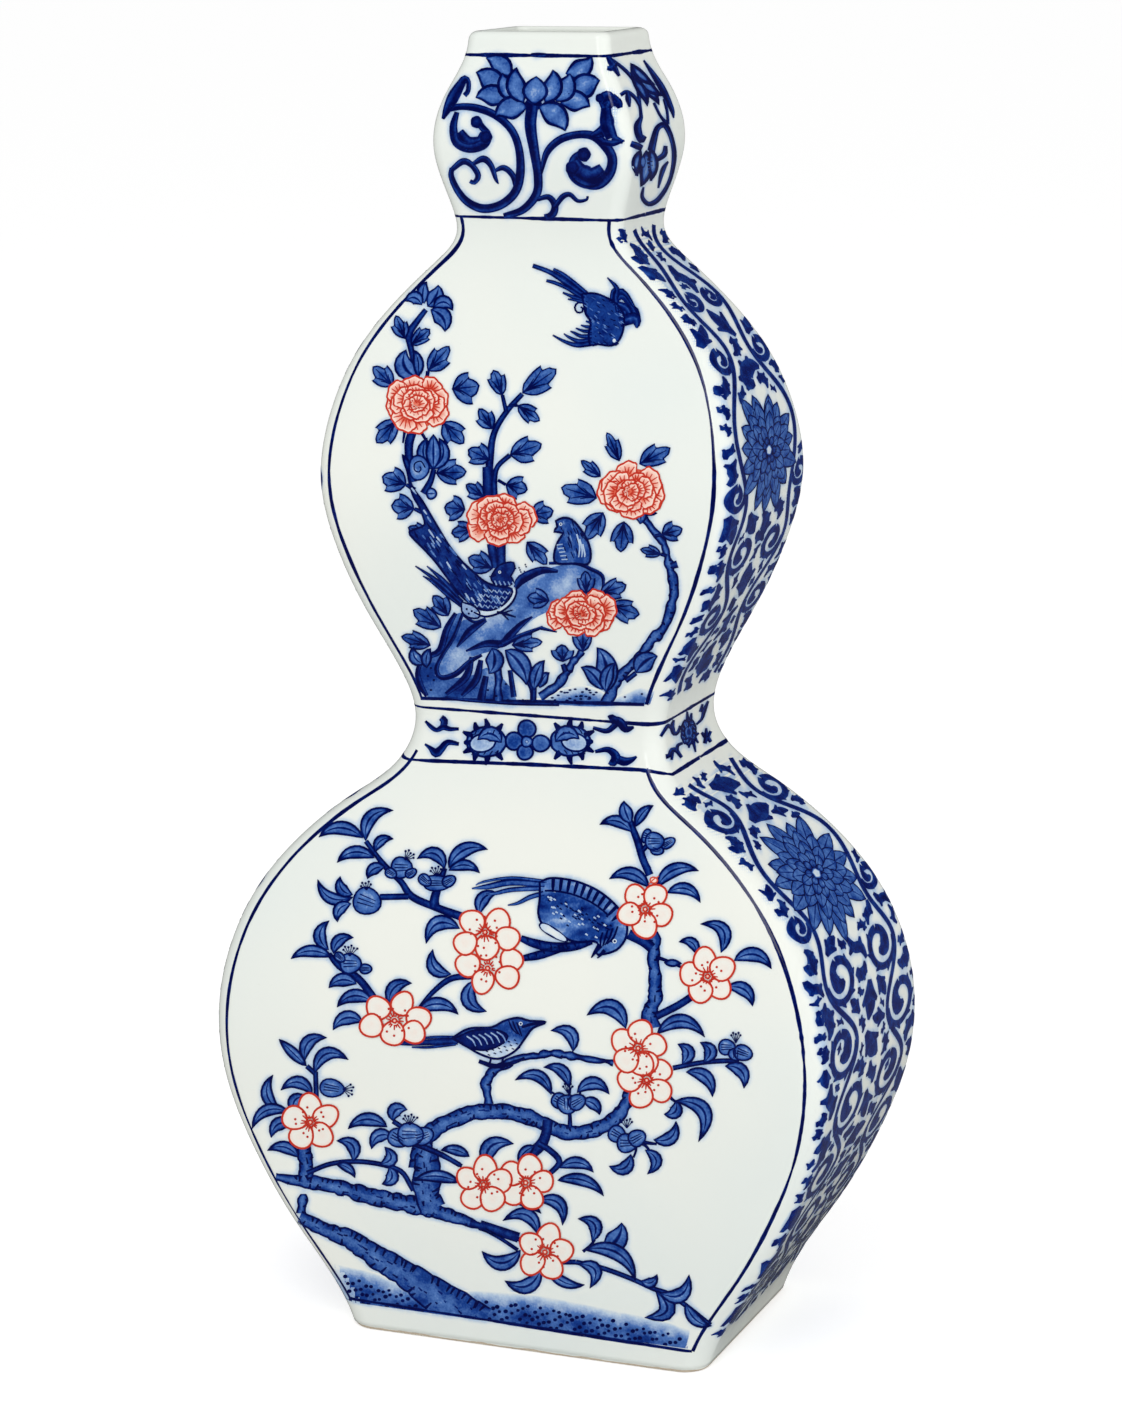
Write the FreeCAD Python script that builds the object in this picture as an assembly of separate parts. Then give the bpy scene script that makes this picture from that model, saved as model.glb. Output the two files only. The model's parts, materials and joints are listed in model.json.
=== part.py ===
import FreeCAD, Part

import os

# Double gourd vase of porcelain, rectangular in plan, built of slabs that are luted edge to edge.
# The origin is at the middle of the standing face. X runs across the front, the front looks along -Y
# and Z is up. Sizes are millimetres.

# Widths across the front, at the foot, the lobes, the hollows between them and the mouth
foot_width = 126.0
lower_width = 213.0
waist_width = 87.0
middle_width = 141.0
neck_width = 57.0
bulb_width = 67.5
mouth_width = 47.5

# Depths from front to back at the same places
foot_depth = 90.0
lower_depth = 107.0
waist_depth = 57.0
middle_depth = 78.0
neck_depth = 43.0
bulb_depth = 53.0
mouth_depth = 40.0

# The rise from each of those places to the next, from the standing face up to the lip
foot_to_lower = 106.0
lower_to_waist = 100.0
waist_to_middle = 80.0
middle_to_neck = 80.5
neck_to_bulb = 26.5
bulb_to_mouth = 37.0

# The luted joints: the heights of the foot rim and the lip, and how far the other joints lie from the
# narrowest places of the waist and the neck
foot_rim_height = 8.0
collar_below_waist = 10.5
collar_above_waist = 6.0
joint_above_neck = 3.5
lip_height = 10.0

# Walls and edges
wall = 4.5
foot_rim_width = 9.0
base_thickness = 6.0
foot_corner_radius = 9.0
mouth_corner_radius = 4.5
lip_wall = 3.6
mouth_bore_corner_radius = 3.0
foot_bore_corner_radius = 6.0
standing_edge_radius = 1.2

# Rounding of the lip's top edge, as shares of the lip's wall
lip_outer_share = 0.61
lip_inner_share = 0.28

# How far cutting and profile solids run past what they cut
overrun = 20.0

# How near an edge lies to a height to count as being at it
seam = 0.01

# Heights of the named places above the standing face
lower_height = foot_to_lower
waist_height = lower_height + lower_to_waist
middle_height = waist_height + waist_to_middle
neck_height = middle_height + middle_to_neck
bulb_height = neck_height + neck_to_bulb
total_height = bulb_height + bulb_to_mouth

# Heights of the luted joints
collar_bottom_height = waist_height - collar_below_waist
collar_top_height = waist_height + collar_above_waist
neck_joint_height = neck_height + joint_above_neck
lip_joint_height = total_height - lip_height

# Points of the outline between two stations: (share of the height gained, share of the change of size)
front_shares = (
    ((0.13, 0.13), (0.33, 0.44), (0.57, 0.75), (0.80, 0.95)),
    ((0.24, 0.06), (0.44, 0.20), (0.62, 0.43), (0.76, 0.70), (0.88, 0.93)),
    ((0.10, 0.02), (0.275, 0.21), (0.50, 0.55), (0.75, 0.84)),
    ((0.27, 0.045), (0.52, 0.22), (0.73, 0.52), (0.88, 0.82)),
    ((0.36, 0.22), (0.70, 0.72)),
    ((0.27, 0.10), (0.53, 0.47), (0.76, 0.86), (0.90, 0.98)),
)
side_shares = (
    ((0.13, 0.17), (0.42, 0.62), (0.75, 0.95)),
    ((0.40, 0.24), (0.65, 0.52), (0.85, 0.80)),
    ((0.20, 0.18), (0.55, 0.71)),
    ((0.33, 0.30), (0.67, 0.79)),
    ((0.50, 0.50),),
    ((0.50, 0.24), (0.80, 0.84)),
)


def stations(foot, lower, waist, middle, neck, bulb, mouth):
    """Half size and height at each named place, from the standing face to the lip."""
    sizes = (foot, lower, waist, middle, neck, bulb, mouth)
    heights = (0.0, lower_height, waist_height, middle_height, neck_height, bulb_height, total_height)
    return [(size / 2, height) for size, height in zip(sizes, heights)]


def outline_points(places, share_table):
    """The stations of an outline with the shared points between them."""
    points = [places[0]]
    for (low_half, low_z), (high_half, high_z), shares in zip(places, places[1:], share_table):
        for rise, spread in shares:
            half = low_half + spread * (high_half - low_half)
            points.append((half, low_z + rise * (high_z - low_z)))
        points.append((high_half, high_z))
    return points


def outline_curve(points):
    """One smooth curve up the side of the vase, in the XZ plane."""
    curve = Part.BSplineCurve()
    curve.interpolate([FreeCAD.Vector(half, 0, z) for half, z in points])
    return curve


def inset_curve(points, distance):
    """The same curve moved inwards, square to the surface, so that a slab has one thickness."""
    outer = outline_curve(points)
    moved = []
    for half, z in points:
        near = outer.parameter(FreeCAD.Vector(half, 0, z))
        tangent = outer.tangent(near)[0]
        normal = FreeCAD.Vector(-tangent.z, 0, tangent.x)
        moved.append(outer.value(near) + normal * distance)
    inner = Part.BSplineCurve()
    inner.interpolate(moved)
    return inner


def profile_face(curve):
    """The closed profile between a curve and its mirror, run on past the foot and the mouth."""
    low = curve.value(curve.FirstParameter)
    high = curve.value(curve.LastParameter)
    below = FreeCAD.Vector(low.x, 0, -overrun)
    above = FreeCAD.Vector(high.x, 0, total_height + overrun)
    side = [Part.LineSegment(below, low).toShape(), curve.toShape(), Part.LineSegment(high, above).toShape()]
    mirrored = [edge.mirror(FreeCAD.Vector(0, 0, 0), FreeCAD.Vector(1, 0, 0)) for edge in side]
    across_top = Part.LineSegment(above, FreeCAD.Vector(-above.x, 0, above.z)).toShape()
    across_bottom = Part.LineSegment(below, FreeCAD.Vector(-below.x, 0, below.z)).toShape()
    edges = side + mirrored + [across_top, across_bottom]
    return Part.Face(Part.Wire(Part.__sortEdges__(edges)))


def run_front_to_back(curve):
    """A front profile swept through the whole depth of the vase."""
    reach = lower_depth / 2 + overrun
    face = profile_face(curve)
    face.translate(FreeCAD.Vector(0, -reach, 0))
    return face.extrude(FreeCAD.Vector(0, 2 * reach, 0))


def run_side_to_side(curve):
    """A side profile swept through the whole width of the vase."""
    reach = lower_width / 2 + overrun
    face = profile_face(curve)
    face.rotate(FreeCAD.Vector(0, 0, 0), FreeCAD.Vector(0, 0, 1), 90)
    face.translate(FreeCAD.Vector(-reach, 0, 0))
    return face.extrude(FreeCAD.Vector(2 * reach, 0, 0))


def level_block(low_z, high_z):
    """A block that holds all of the vase between two heights."""
    across = lower_width + 2 * overrun
    deep = lower_depth + 2 * overrun
    return Part.makeBox(across, deep, high_z - low_z, FreeCAD.Vector(-across / 2, -deep / 2, low_z))


def corner_radius(z):
    """The corner radius shrinks evenly from the foot to the lip."""
    return foot_corner_radius + (mouth_corner_radius - foot_corner_radius) * z / total_height


def corner_edge(block, side, end):
    """The long edge of one corner: side is the sign of X and end the sign of Y."""
    tallest = None
    for edge in block.Edges:
        middle = edge.BoundBox.Center
        in_quarter = middle.x * side > 0 and middle.y * end > 0
        if in_quarter and (tallest is None or edge.BoundBox.ZLength > tallest.BoundBox.ZLength):
            tallest = edge
    return tallest


def rounded_level(low_z, high_z):
    """The solid of the vase between two heights, with its four corners rounded."""
    block = sharp_body.common(level_block(low_z, high_z))
    for side, end in ((1, 1), (1, -1), (-1, 1), (-1, -1)):
        edge = corner_edge(block, side, end)
        radii = [corner_radius(low_z), corner_radius(high_z)]
        if edge.valueAt(edge.FirstParameter).z > edge.valueAt(edge.LastParameter).z:
            radii.reverse()
        block = block.makeFillet(radii[0], radii[1], [edge])
    return block


def slabs(name, low_z, high_z):
    """Four slabs of one lobe. The front and back slabs cover the edges of the two side slabs."""
    level = rounded_level(low_z, high_z)
    faces = level.cut(inner_side)
    ends = level.common(inner_side).cut(inner_front)
    made = {}
    for solid in faces.Solids:
        made["front" if solid.CenterOfMass.y < 0 else "back"] = solid
    for solid in ends.Solids:
        made["left" if solid.CenterOfMass.x < 0 else "right"] = solid
    for place in ("front", "back", "left", "right"):
        parts[name + "_" + place + "_slab"] = made[place]


def rounded_prism(width, depth, radius, low_z, high_z):
    """An upright block with rounded corners, centred on the vase's axis."""
    block = Part.makeBox(width, depth, high_z - low_z, FreeCAD.Vector(-width / 2, -depth / 2, low_z))
    upright = [edge for edge in block.Edges if edge.BoundBox.ZLength > 0]
    return block.makeFillet(radius, upright)


def edges_at_height(solid, z):
    """The edges of a solid that lie flat at one height."""
    return [edge for edge in solid.Edges if edge.BoundBox.ZMin > z - seam and edge.BoundBox.ZMax < z + seam]


def foot_rim():
    """The ring that the vase stands on, wider than the wall so that the base slab can lie on it."""
    ring = rounded_level(0.0, foot_rim_height)
    bore = rounded_prism(foot_width - 2 * foot_rim_width, foot_depth - 2 * foot_rim_width,
                         foot_bore_corner_radius, -overrun, foot_rim_height + overrun)
    ring = ring.cut(bore)
    return ring.makeFillet(standing_edge_radius, edges_at_height(ring, 0.0))


def base_slab():
    """The flat bottom, laid on the foot rim and luted to the inside of the lower slabs."""
    return hollow.common(level_block(foot_rim_height, foot_rim_height + base_thickness))


def waist_collar():
    """The concave band between the two large lobes."""
    return rounded_level(collar_bottom_height, collar_top_height).cut(hollow)


def mouth_rim():
    """The short upright lip, its top edge rounded over more outside than inside."""
    lip = rounded_level(lip_joint_height, total_height)
    lip = lip.makeFillet(lip_outer_share * lip_wall, edges_at_height(lip, total_height))
    bore_width = mouth_width - 2 * lip_wall
    bore_depth = mouth_depth - 2 * lip_wall
    lip = lip.cut(rounded_prism(bore_width, bore_depth, mouth_bore_corner_radius,
                                lip_joint_height - overrun, total_height + overrun))
    inside = []
    for edge in edges_at_height(lip, total_height):
        middle = edge.BoundBox.Center
        if abs(middle.x) < bore_width / 2 + seam and abs(middle.y) < bore_depth / 2 + seam:
            inside.append(edge)
    return lip.makeFillet(lip_inner_share * lip_wall, inside)


front_points = outline_points(stations(foot_width, lower_width, waist_width, middle_width, neck_width,
                                       bulb_width, mouth_width), front_shares)
side_points = outline_points(stations(foot_depth, lower_depth, waist_depth, middle_depth, neck_depth,
                                      bulb_depth, mouth_depth), side_shares)
sharp_front = run_front_to_back(outline_curve(front_points))
sharp_side = run_side_to_side(outline_curve(side_points))
sharp_body = sharp_front.common(sharp_side)
inner_front = run_front_to_back(inset_curve(front_points, wall))
inner_side = run_side_to_side(inset_curve(side_points, wall))
hollow = inner_front.common(inner_side)

parts = {}
parts["foot_rim"] = foot_rim()
parts["base_slab"] = base_slab()
slabs("lower", foot_rim_height, collar_bottom_height)
parts["waist_collar"] = waist_collar()
slabs("middle", collar_top_height, neck_joint_height)
slabs("bulb", neck_joint_height, lip_joint_height)
parts["mouth_rim"] = mouth_rim()

os.makedirs("parts", exist_ok=True)
for node, shape in parts.items():
    if len(shape.Solids) != 1 or not shape.isValid():
        raise RuntimeError(node + " is not one valid solid")
    print(node, round(shape.Volume), "cubic millimetres")
    shape.Solids[0].exportStep("parts/" + node + ".step")
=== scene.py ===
import json
from functools import partial
from math import atan2, ceil, cos, exp, hypot, pi, radians, sin

import bpy
import numpy as np
from mathutils import Matrix, Vector
from mathutils.geometry import delaunay_2d_cdt

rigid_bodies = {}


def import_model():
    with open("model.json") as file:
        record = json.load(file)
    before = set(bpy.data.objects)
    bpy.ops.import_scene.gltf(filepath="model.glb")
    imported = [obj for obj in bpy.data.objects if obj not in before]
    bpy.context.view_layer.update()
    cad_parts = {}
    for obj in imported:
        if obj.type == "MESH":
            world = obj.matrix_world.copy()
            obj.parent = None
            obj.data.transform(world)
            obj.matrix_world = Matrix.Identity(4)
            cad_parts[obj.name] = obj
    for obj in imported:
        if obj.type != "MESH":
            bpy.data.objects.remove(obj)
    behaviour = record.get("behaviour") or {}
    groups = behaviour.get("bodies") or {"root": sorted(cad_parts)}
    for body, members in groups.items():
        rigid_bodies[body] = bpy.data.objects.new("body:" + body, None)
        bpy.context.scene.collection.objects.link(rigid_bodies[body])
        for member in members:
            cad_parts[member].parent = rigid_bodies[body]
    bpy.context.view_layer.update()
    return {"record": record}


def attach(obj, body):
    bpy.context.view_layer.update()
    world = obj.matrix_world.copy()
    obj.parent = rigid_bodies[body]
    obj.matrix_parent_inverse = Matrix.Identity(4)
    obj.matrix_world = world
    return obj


bl_info = {
    "name": "Painted Gourd Vase",
    "version": (1, 0, 0),
    "blender": (4, 5, 0),
    "location": "3D View > Sidebar > Vase",
    "description": "Glazes and paints a rectangular double gourd vase of porcelain",
    "category": "Object",
}

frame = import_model()

MM = 0.001

# The form, in millimetres: half sizes of the vase at its named places, and how the outline runs between
# them, as (share of the height gained, share of the change of size)
station_heights = (0.0, 106.0, 206.0, 286.0, 366.5, 393.0, 430.0)
front_halves = (63.0, 106.5, 43.5, 70.5, 28.5, 33.75, 23.75)
side_halves = (45.0, 53.5, 28.5, 39.0, 21.5, 26.5, 20.0)
front_shares = (
    ((0.13, 0.13), (0.33, 0.44), (0.57, 0.75), (0.80, 0.95)),
    ((0.24, 0.06), (0.44, 0.20), (0.62, 0.43), (0.76, 0.70), (0.88, 0.93)),
    ((0.10, 0.02), (0.275, 0.21), (0.50, 0.55), (0.75, 0.84)),
    ((0.27, 0.045), (0.52, 0.22), (0.73, 0.52), (0.88, 0.82)),
    ((0.36, 0.22), (0.70, 0.72)),
    ((0.27, 0.10), (0.53, 0.47), (0.76, 0.86), (0.90, 0.98)),
)
side_shares = (
    ((0.13, 0.17), (0.42, 0.62), (0.75, 0.95)),
    ((0.40, 0.24), (0.65, 0.52), (0.85, 0.80)),
    ((0.20, 0.18), (0.55, 0.71)),
    ((0.33, 0.30), (0.67, 0.79)),
    ((0.50, 0.50),),
    ((0.50, 0.24), (0.80, 0.84)),
)
glaze_thickness = 0.3
glaze_foot_radius = 8.9
glaze_mouth_radius = 4.0
lip_wall = 3.6
lip_outer_round = 2.2
lip_inner_round = 1.0
lip_bore_radius = 3.0

# The photograph: its size in pixels, and where its camera stands, in millimetres and degrees
photo_width, photo_height = 1122, 1402
camera_azimuth = 21.85
camera_elevation = 11.84
camera_roll = -0.55
camera_distance = 1295.5
camera_aside = -1.37
camera_height = 220.12
camera_focal = 3926.6
camera_lift = -27.15
camera_sensor = 36
camera_reach = 100

# The search for the place on the glaze that shows at a pixel: where it starts (the foot's row in the photograph
# and millimetres to a pixel), its rounds, how far it probes and steps, the least area of a probe, and how far it
# stays off the left corner, as a share of the corner's radius
foot_pixel = 1345
pixel_across, pixel_up = 0.34, 0.33
search_rounds = 12
search_probe, search_step = 0.5, 12
smallest_area = 0.5
corner_share = 0.3

# Colours as they show on screen, 0 to 255
glaze_white = (238, 240, 232)
glaze_cool = (220, 231, 230)
paste_white = (232, 228, 214)
paste_sand = (188, 166, 140)
cobalt_steps = ((0, glaze_white), (0.15, (182, 203, 226)), (0.4, (80, 120, 186)),
                (0.65, (22, 62, 140)), (0.85, (2, 25, 100)), (1, (0, 5, 66)))
red_steps = ((0, glaze_white), (0.2, (244, 200, 184)), (0.5, (224, 108, 84)), (1, (190, 46, 32)))


def smooth_curve(points, count=4000):
    """Dense points of the smooth curve through a few points, as a drawing program interpolates them."""
    points = np.array(points, float)
    knots = np.concatenate([[0], np.cumsum(np.linalg.norm(np.diff(points, axis=0), axis=1))])
    gap = np.diff(knots)
    size = len(points)
    rows = np.zeros((size, size))
    known = np.zeros(points.shape)
    for i in range(1, size - 1):
        rows[i, i - 1:i + 2] = gap[i - 1], 2 * (gap[i - 1] + gap[i]), gap[i]
        known[i] = 6 * ((points[i + 1] - points[i]) / gap[i] - (points[i] - points[i - 1]) / gap[i - 1])
    first = np.linalg.solve(np.vander(knots[:4] - knots[0], 4), points[:4])[2]
    last = np.linalg.solve(np.vander(knots[-4:] - knots[-1], 4), points[-4:])[2]
    rows[0, :2] = 2 * gap[0], gap[0]
    known[0] = 6 * ((points[1] - points[0]) / gap[0] - first)
    rows[-1, -2:] = gap[-1], 2 * gap[-1]
    known[-1] = 6 * (last - (points[-1] - points[-2]) / gap[-1])
    bend = np.linalg.solve(rows, known)
    at = np.linspace(0, knots[-1], count)
    span = np.clip(np.searchsorted(knots, at, side="right") - 1, 0, size - 2)
    low, high = (at - knots[span])[:, None], (knots[span + 1] - at)[:, None]
    h = gap[span][:, None]
    return ((bend[span] * high ** 3 + bend[span + 1] * low ** 3) / (6 * h)
            + (points[span] / h - bend[span] * h / 6) * high
            + (points[span + 1] / h - bend[span + 1] * h / 6) * low)


def outline(halves, share_table):
    """Heights and half sizes of one outline of the vase, from the standing face to the lip."""
    places = list(zip(halves, station_heights))
    points = places[:1]
    for (low_half, low_z), (high_half, high_z), shares in zip(places, places[1:], share_table):
        points += [(low_half + spread * (high_half - low_half), low_z + rise * (high_z - low_z))
                   for rise, spread in shares]
        points.append((high_half, high_z))
    curve = smooth_curve(points)
    return curve[:, 1], curve[:, 0]


front_outline = outline(front_halves, front_shares)
side_outline = outline(side_halves, side_shares)
front_slope = np.gradient(front_outline[1], front_outline[0])
side_slope = np.gradient(side_outline[1], side_outline[0])
front_run = np.concatenate([[0], np.cumsum(np.hypot(np.diff(front_outline[0]), np.diff(front_outline[1])))])
radius_slope = (glaze_mouth_radius - glaze_foot_radius) / station_heights[-1]


def half_width(z):
    return np.interp(z, *front_outline)


def half_depth(z):
    return np.interp(z, *side_outline)


def glaze_radius(z):
    return glaze_foot_radius + radius_slope * z


def run_height(run):
    """Height above the standing face of a place on a narrow side, from its run up the curved wall."""
    return np.interp(run, front_run, front_outline[0])


def on_glaze(u, z, lift):
    """Places and normals on the glaze. u runs level round the vase from the middle of the front, to the right
    and on round both corners to the back; z is the height and lift the distance above the glaze."""
    side = np.where(u < 0, -1.0, 1.0)
    run = np.abs(u)
    radius = glaze_radius(z)
    flat_x = half_width(z) + glaze_thickness - radius
    flat_y = half_depth(z) + glaze_thickness - radius
    arc = radius * pi / 2
    past = np.clip(run - flat_x - arc, 0, 2 * flat_y)
    far = run - flat_x - arc - 2 * flat_y
    turn = np.clip((run - flat_x) / radius, 0, pi / 2) + np.clip(far / radius, 0, pi / 2)
    across, deep = np.sin(turn), np.cos(turn)
    x = np.minimum(run, flat_x) + (radius + lift) * across - np.maximum(far - arc, 0)
    y = past - flat_y - (radius + lift) * deep
    slope_x = np.interp(z, front_outline[0], front_slope) - radius_slope
    slope_y = np.interp(z, side_outline[0], side_slope) - radius_slope
    rise = slope_x * across + slope_y * np.abs(deep) + radius_slope
    normal = np.stack([side * across, -deep, -rise], axis=-1)
    normal /= np.linalg.norm(normal, axis=-1, keepdims=True)
    return np.stack([side * x, y, z + 0 * x], axis=-1), normal


def camera_axes():
    """Directions to the right, up and back of the camera, and its place, in millimetres."""
    azimuth, elevation, roll = (radians(v) for v in (camera_azimuth, camera_elevation, camera_roll))
    back = np.array([sin(azimuth) * cos(elevation), -cos(azimuth) * cos(elevation), sin(elevation)])
    level = np.array([cos(azimuth), sin(azimuth), 0])
    upright = np.cross(back, level)
    place = np.array([0, 0, camera_height]) + level * camera_aside + back * camera_distance
    right = cos(roll) * level + sin(roll) * upright
    up = -sin(roll) * level + cos(roll) * upright
    return right, up, back, place


def in_photo(points):
    """Pixels of the photograph at which places on the vase show."""
    right, up, back, place = camera_axes()
    away = points - place
    depth = -(away @ back)
    x = photo_width / 2 + camera_focal * (away @ right) / depth
    y = photo_height / 2 + camera_lift - camera_focal * (away @ up) / depth
    return np.stack([x, y], axis=-1)


def crossed(first, second):
    return first[:, 0] * second[:, 1] - first[:, 1] * second[:, 0]


def from_photo(pixels):
    """Places (u, z) on the front and right of the glaze that show at pixels of the photograph."""
    pixels = np.asarray(pixels, float)
    u = (pixels[:, 0] - photo_width / 2) * pixel_across
    z = (foot_pixel - pixels[:, 1]) * pixel_up
    for _ in range(search_rounds):
        here = in_photo(on_glaze(u, z, 0)[0])
        along = (in_photo(on_glaze(u + search_probe, z, 0)[0]) - here) / search_probe
        upwards = (in_photo(on_glaze(u, z + search_probe, 0)[0]) - here) / search_probe
        miss = pixels - here
        area = crossed(along, upwards)
        area = np.where(np.abs(area) < smallest_area, smallest_area * np.where(area < 0, -1, 1), area)
        u = u + np.clip(crossed(miss, upwards) / area, -search_step, search_step)
        z = np.clip(z + np.clip(crossed(along, miss) / area, -search_step, search_step), 1, station_heights[-1] - 1)
        u = np.maximum(u, glaze_radius(z) * corner_share - half_width(z) - glaze_thickness)
    return u, z


# Painting

photo_step = 4.5
rise_step = 0.012
rise_jitter = 0.0015


class Drawing:
    """Strokes of one colour in the drawing's own coordinates; each point has a tone, from 0 for bare glaze
    to 1 for the full colour, and a rise, which says what lies over what."""

    def __init__(self, place):
        self.place = place
        self.points, self.tones, self.rises, self.triangles = [], [], [], []
        self.size = 0

    def add(self, points, tones, triangles, rise):
        points = np.asarray(points, float).reshape(-1, 2)
        self.points.append(points)
        self.tones.append(np.broadcast_to(np.asarray(tones, float).ravel(), (len(points),)))
        self.rises.append(np.full(len(points), rise * rise_step + rise_jitter * (len(self.rises) % 7)))
        self.triangles.append(np.asarray(triangles, int).reshape(-1, 3) + self.size)
        self.size += len(points)


def front_place(points, lowest=0.0):
    """Places on the front for pixels of the photograph, held within the front and its two corners."""
    u, z = from_photo(points)
    radius = glaze_radius(z)
    edge = half_width(z) + glaze_thickness - radius
    return np.clip(u, -edge - radius, edge + radius * 1.9), np.maximum(z, lowest)


def glaze_place(points):
    return points[:, 0], points[:, 1]


def grid_triangles(rows, columns, closed=False):
    """Triangles between the points of a grid, closed where its last row meets its first."""
    last = rows if closed else rows - 1
    first = (np.arange(last)[:, None] * columns + np.arange(columns - 1)).ravel()
    after = ((np.arange(last)[:, None] + 1) % rows * columns + np.arange(columns - 1)).ravel()
    return np.concatenate([np.stack([first, after, after + 1], 1), np.stack([first, after + 1, first + 1], 1)])


def heading(turn):
    """The direction of an angle, as a step of length 1."""
    return np.array([cos(turn), sin(turn)])


def smooth_path(waypoints, step=photo_step):
    """Points along a smooth path through waypoints, with what else each waypoint holds, such as its width."""
    waypoints = np.asarray(waypoints, float)
    ends = np.vstack([2 * waypoints[0] - waypoints[1], waypoints, 2 * waypoints[-1] - waypoints[-2]])
    path = []
    for a, b, c, d in zip(ends, ends[1:], ends[2:], ends[3:]):
        count = max(1, ceil(np.linalg.norm((c - b)[:2]) / step))
        t = np.arange(count)[:, None] / count
        path.append(0.5 * (2 * b + (c - a) * t + (2 * a - 5 * b + 4 * c - d) * t ** 2
                           + (3 * b - a - 3 * c + d) * t ** 3))
    return np.vstack(path + [waypoints[-1:]])


def closed_path(waypoints):
    """Points along a smooth outline that ends where it starts."""
    return smooth_path((*waypoints, waypoints[0]))[:-1]


def ribbon(ink, path, columns, rise, closed=False):
    """A stroke along dense points (x, y, width). Each column is (share, inset, tone): its share of what is left
    of the half width inside the inset. Where the stroke is too thin for an inset, the edge's tone takes over."""
    path = np.asarray(path, float)
    middle, half = path[:, :2], np.maximum(path[:, 2] / 2, 0.05)
    along = np.gradient(np.vstack([middle[-1:], middle, middle[:1]]) if closed else middle, axis=0)
    along = along[1:-1] if closed else along
    along /= np.maximum(np.linalg.norm(along, axis=1, keepdims=True), 1e-9)
    across = np.stack([along[:, 1], -along[:, 0]], axis=1)
    share, inset, tone = np.array(columns, float).T
    room = half[:, None] - inset
    offset = share * np.maximum(room, 0)
    tones = tone[0] + (tone - tone[0]) * np.clip(room + (inset == 0), 0, 1)
    points = middle[:, None] + across[:, None] * offset[:, :, None]
    ink.add(points, tones, grid_triangles(len(path), len(columns), closed), rise)


def line(ink, waypoints, rise, tone=1.0, step=photo_step):
    """A plain brush line through waypoints (x, y, width)."""
    ribbon(ink, smooth_path(waypoints, step), ((-1, 0, tone), (1, 0, tone)), rise)


def strokes(ink, paths, columns, rise, step=photo_step, broader=1):
    """One brush stroke for each list of waypoints (x, y, width)."""
    for path in paths:
        ribbon(ink, smooth_path(np.array(path) * (1, 1, broader), step), columns, rise)


def rim_line(ink, rim, width, rise):
    """A dark line round a shape."""
    ribbon(ink, np.column_stack([rim, np.full(len(rim), width)]), plain_columns, rise, closed=True)


def blob(ink, rim, centre, rings, rise):
    """A shape filled from its rim towards its centre. Each ring is (share, inset, tone)."""
    rim, centre = np.asarray(rim, float), np.asarray(centre, float)
    reach = np.linalg.norm(rim - centre, axis=1, keepdims=True)
    rows = []
    for share, inset, _ in rings:
        rows.append(centre + (rim - centre) * share * np.clip(1 - inset / np.maximum(reach, 1e-6), 0.05, 1))
    points = np.stack(rows, axis=1).reshape(-1, 2)
    count = len(rings)
    triangles = grid_triangles(len(rim), count, closed=True)
    inner = np.arange(len(rim)) * count + count - 1
    fan = np.stack([inner, np.roll(inner, -1), np.full(len(rim), len(points))], axis=1)
    tones = np.append(np.tile([tone for _, _, tone in rings], len(rim)), rings[-1][2])
    ink.add(np.vstack([points, centre]), tones, np.vstack([triangles, fan]), rise)


def inside(points, rim):
    """Which points lie inside a closed outline."""
    x, y = points[:, 0][:, None], points[:, 1][:, None]
    ax, ay = rim[:, 0], rim[:, 1]
    bx, by = np.roll(ax, -1), np.roll(ay, -1)
    crosses = (ay > y) != (by > y)
    reach = (bx - ax) * (y - ay) / np.where(by == ay, 1e-9, by - ay) + ax
    return (crosses & (x < reach)).sum(axis=1) % 2 == 1


def pool(ink, rim, tone, rise, grid=6.0):
    """A filled shape of any outline, its tone a number or a function of its points."""
    rim = np.asarray(rim, float)
    xs = np.arange(rim[:, 0].min(), rim[:, 0].max(), grid)
    ys = np.arange(rim[:, 1].min(), rim[:, 1].max(), grid)
    spots = np.stack(np.meshgrid(xs, ys), axis=-1).reshape(-1, 2)
    near = np.linalg.norm(spots[:, None] - rim[None], axis=2).min(axis=1)
    spots = spots[inside(spots, rim) & (near > grid * 0.45)]
    every = [Vector(p) for p in np.vstack([rim, spots])]
    points, _, faces = delaunay_2d_cdt(every, [], [list(range(len(rim)))], 1, 1e-6)[:3]
    points = np.array([tuple(p) for p in points])
    ink.add(points, tone(points) if callable(tone) else tone, faces, rise)


def around(x, y, wide, high, count=20, turn=0.0, wave=0.0, lobes=5, phase=0.0):
    """Points of an oval, level or turned, with a wavy edge if wanted."""
    angle = np.arange(count) / count * 2 * pi
    reach = 1 + wave * np.cos(lobes * angle + phase)
    a, b = wide / 2 * np.cos(angle) * reach, high / 2 * np.sin(angle) * reach
    return np.stack([x + a * cos(turn) - b * sin(turn), y + a * sin(turn) + b * cos(turn)], 1)


def oval(ink, x, y, wide, high, rings, rise, *shape):
    """A filled oval. The shape is what else around() takes: count, turn, wave, lobes and phase."""
    blob(ink, around(x, y, wide, high, *shape), (x, y), rings, rise)


def dot(ink, x, y, wide, high, rise, count, tone=1):
    """A small dark oval; the tone is its rim's."""
    oval(ink, x, y, wide, high, ((1, 0, tone), (0.4, 0, 1)), rise, count)


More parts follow.
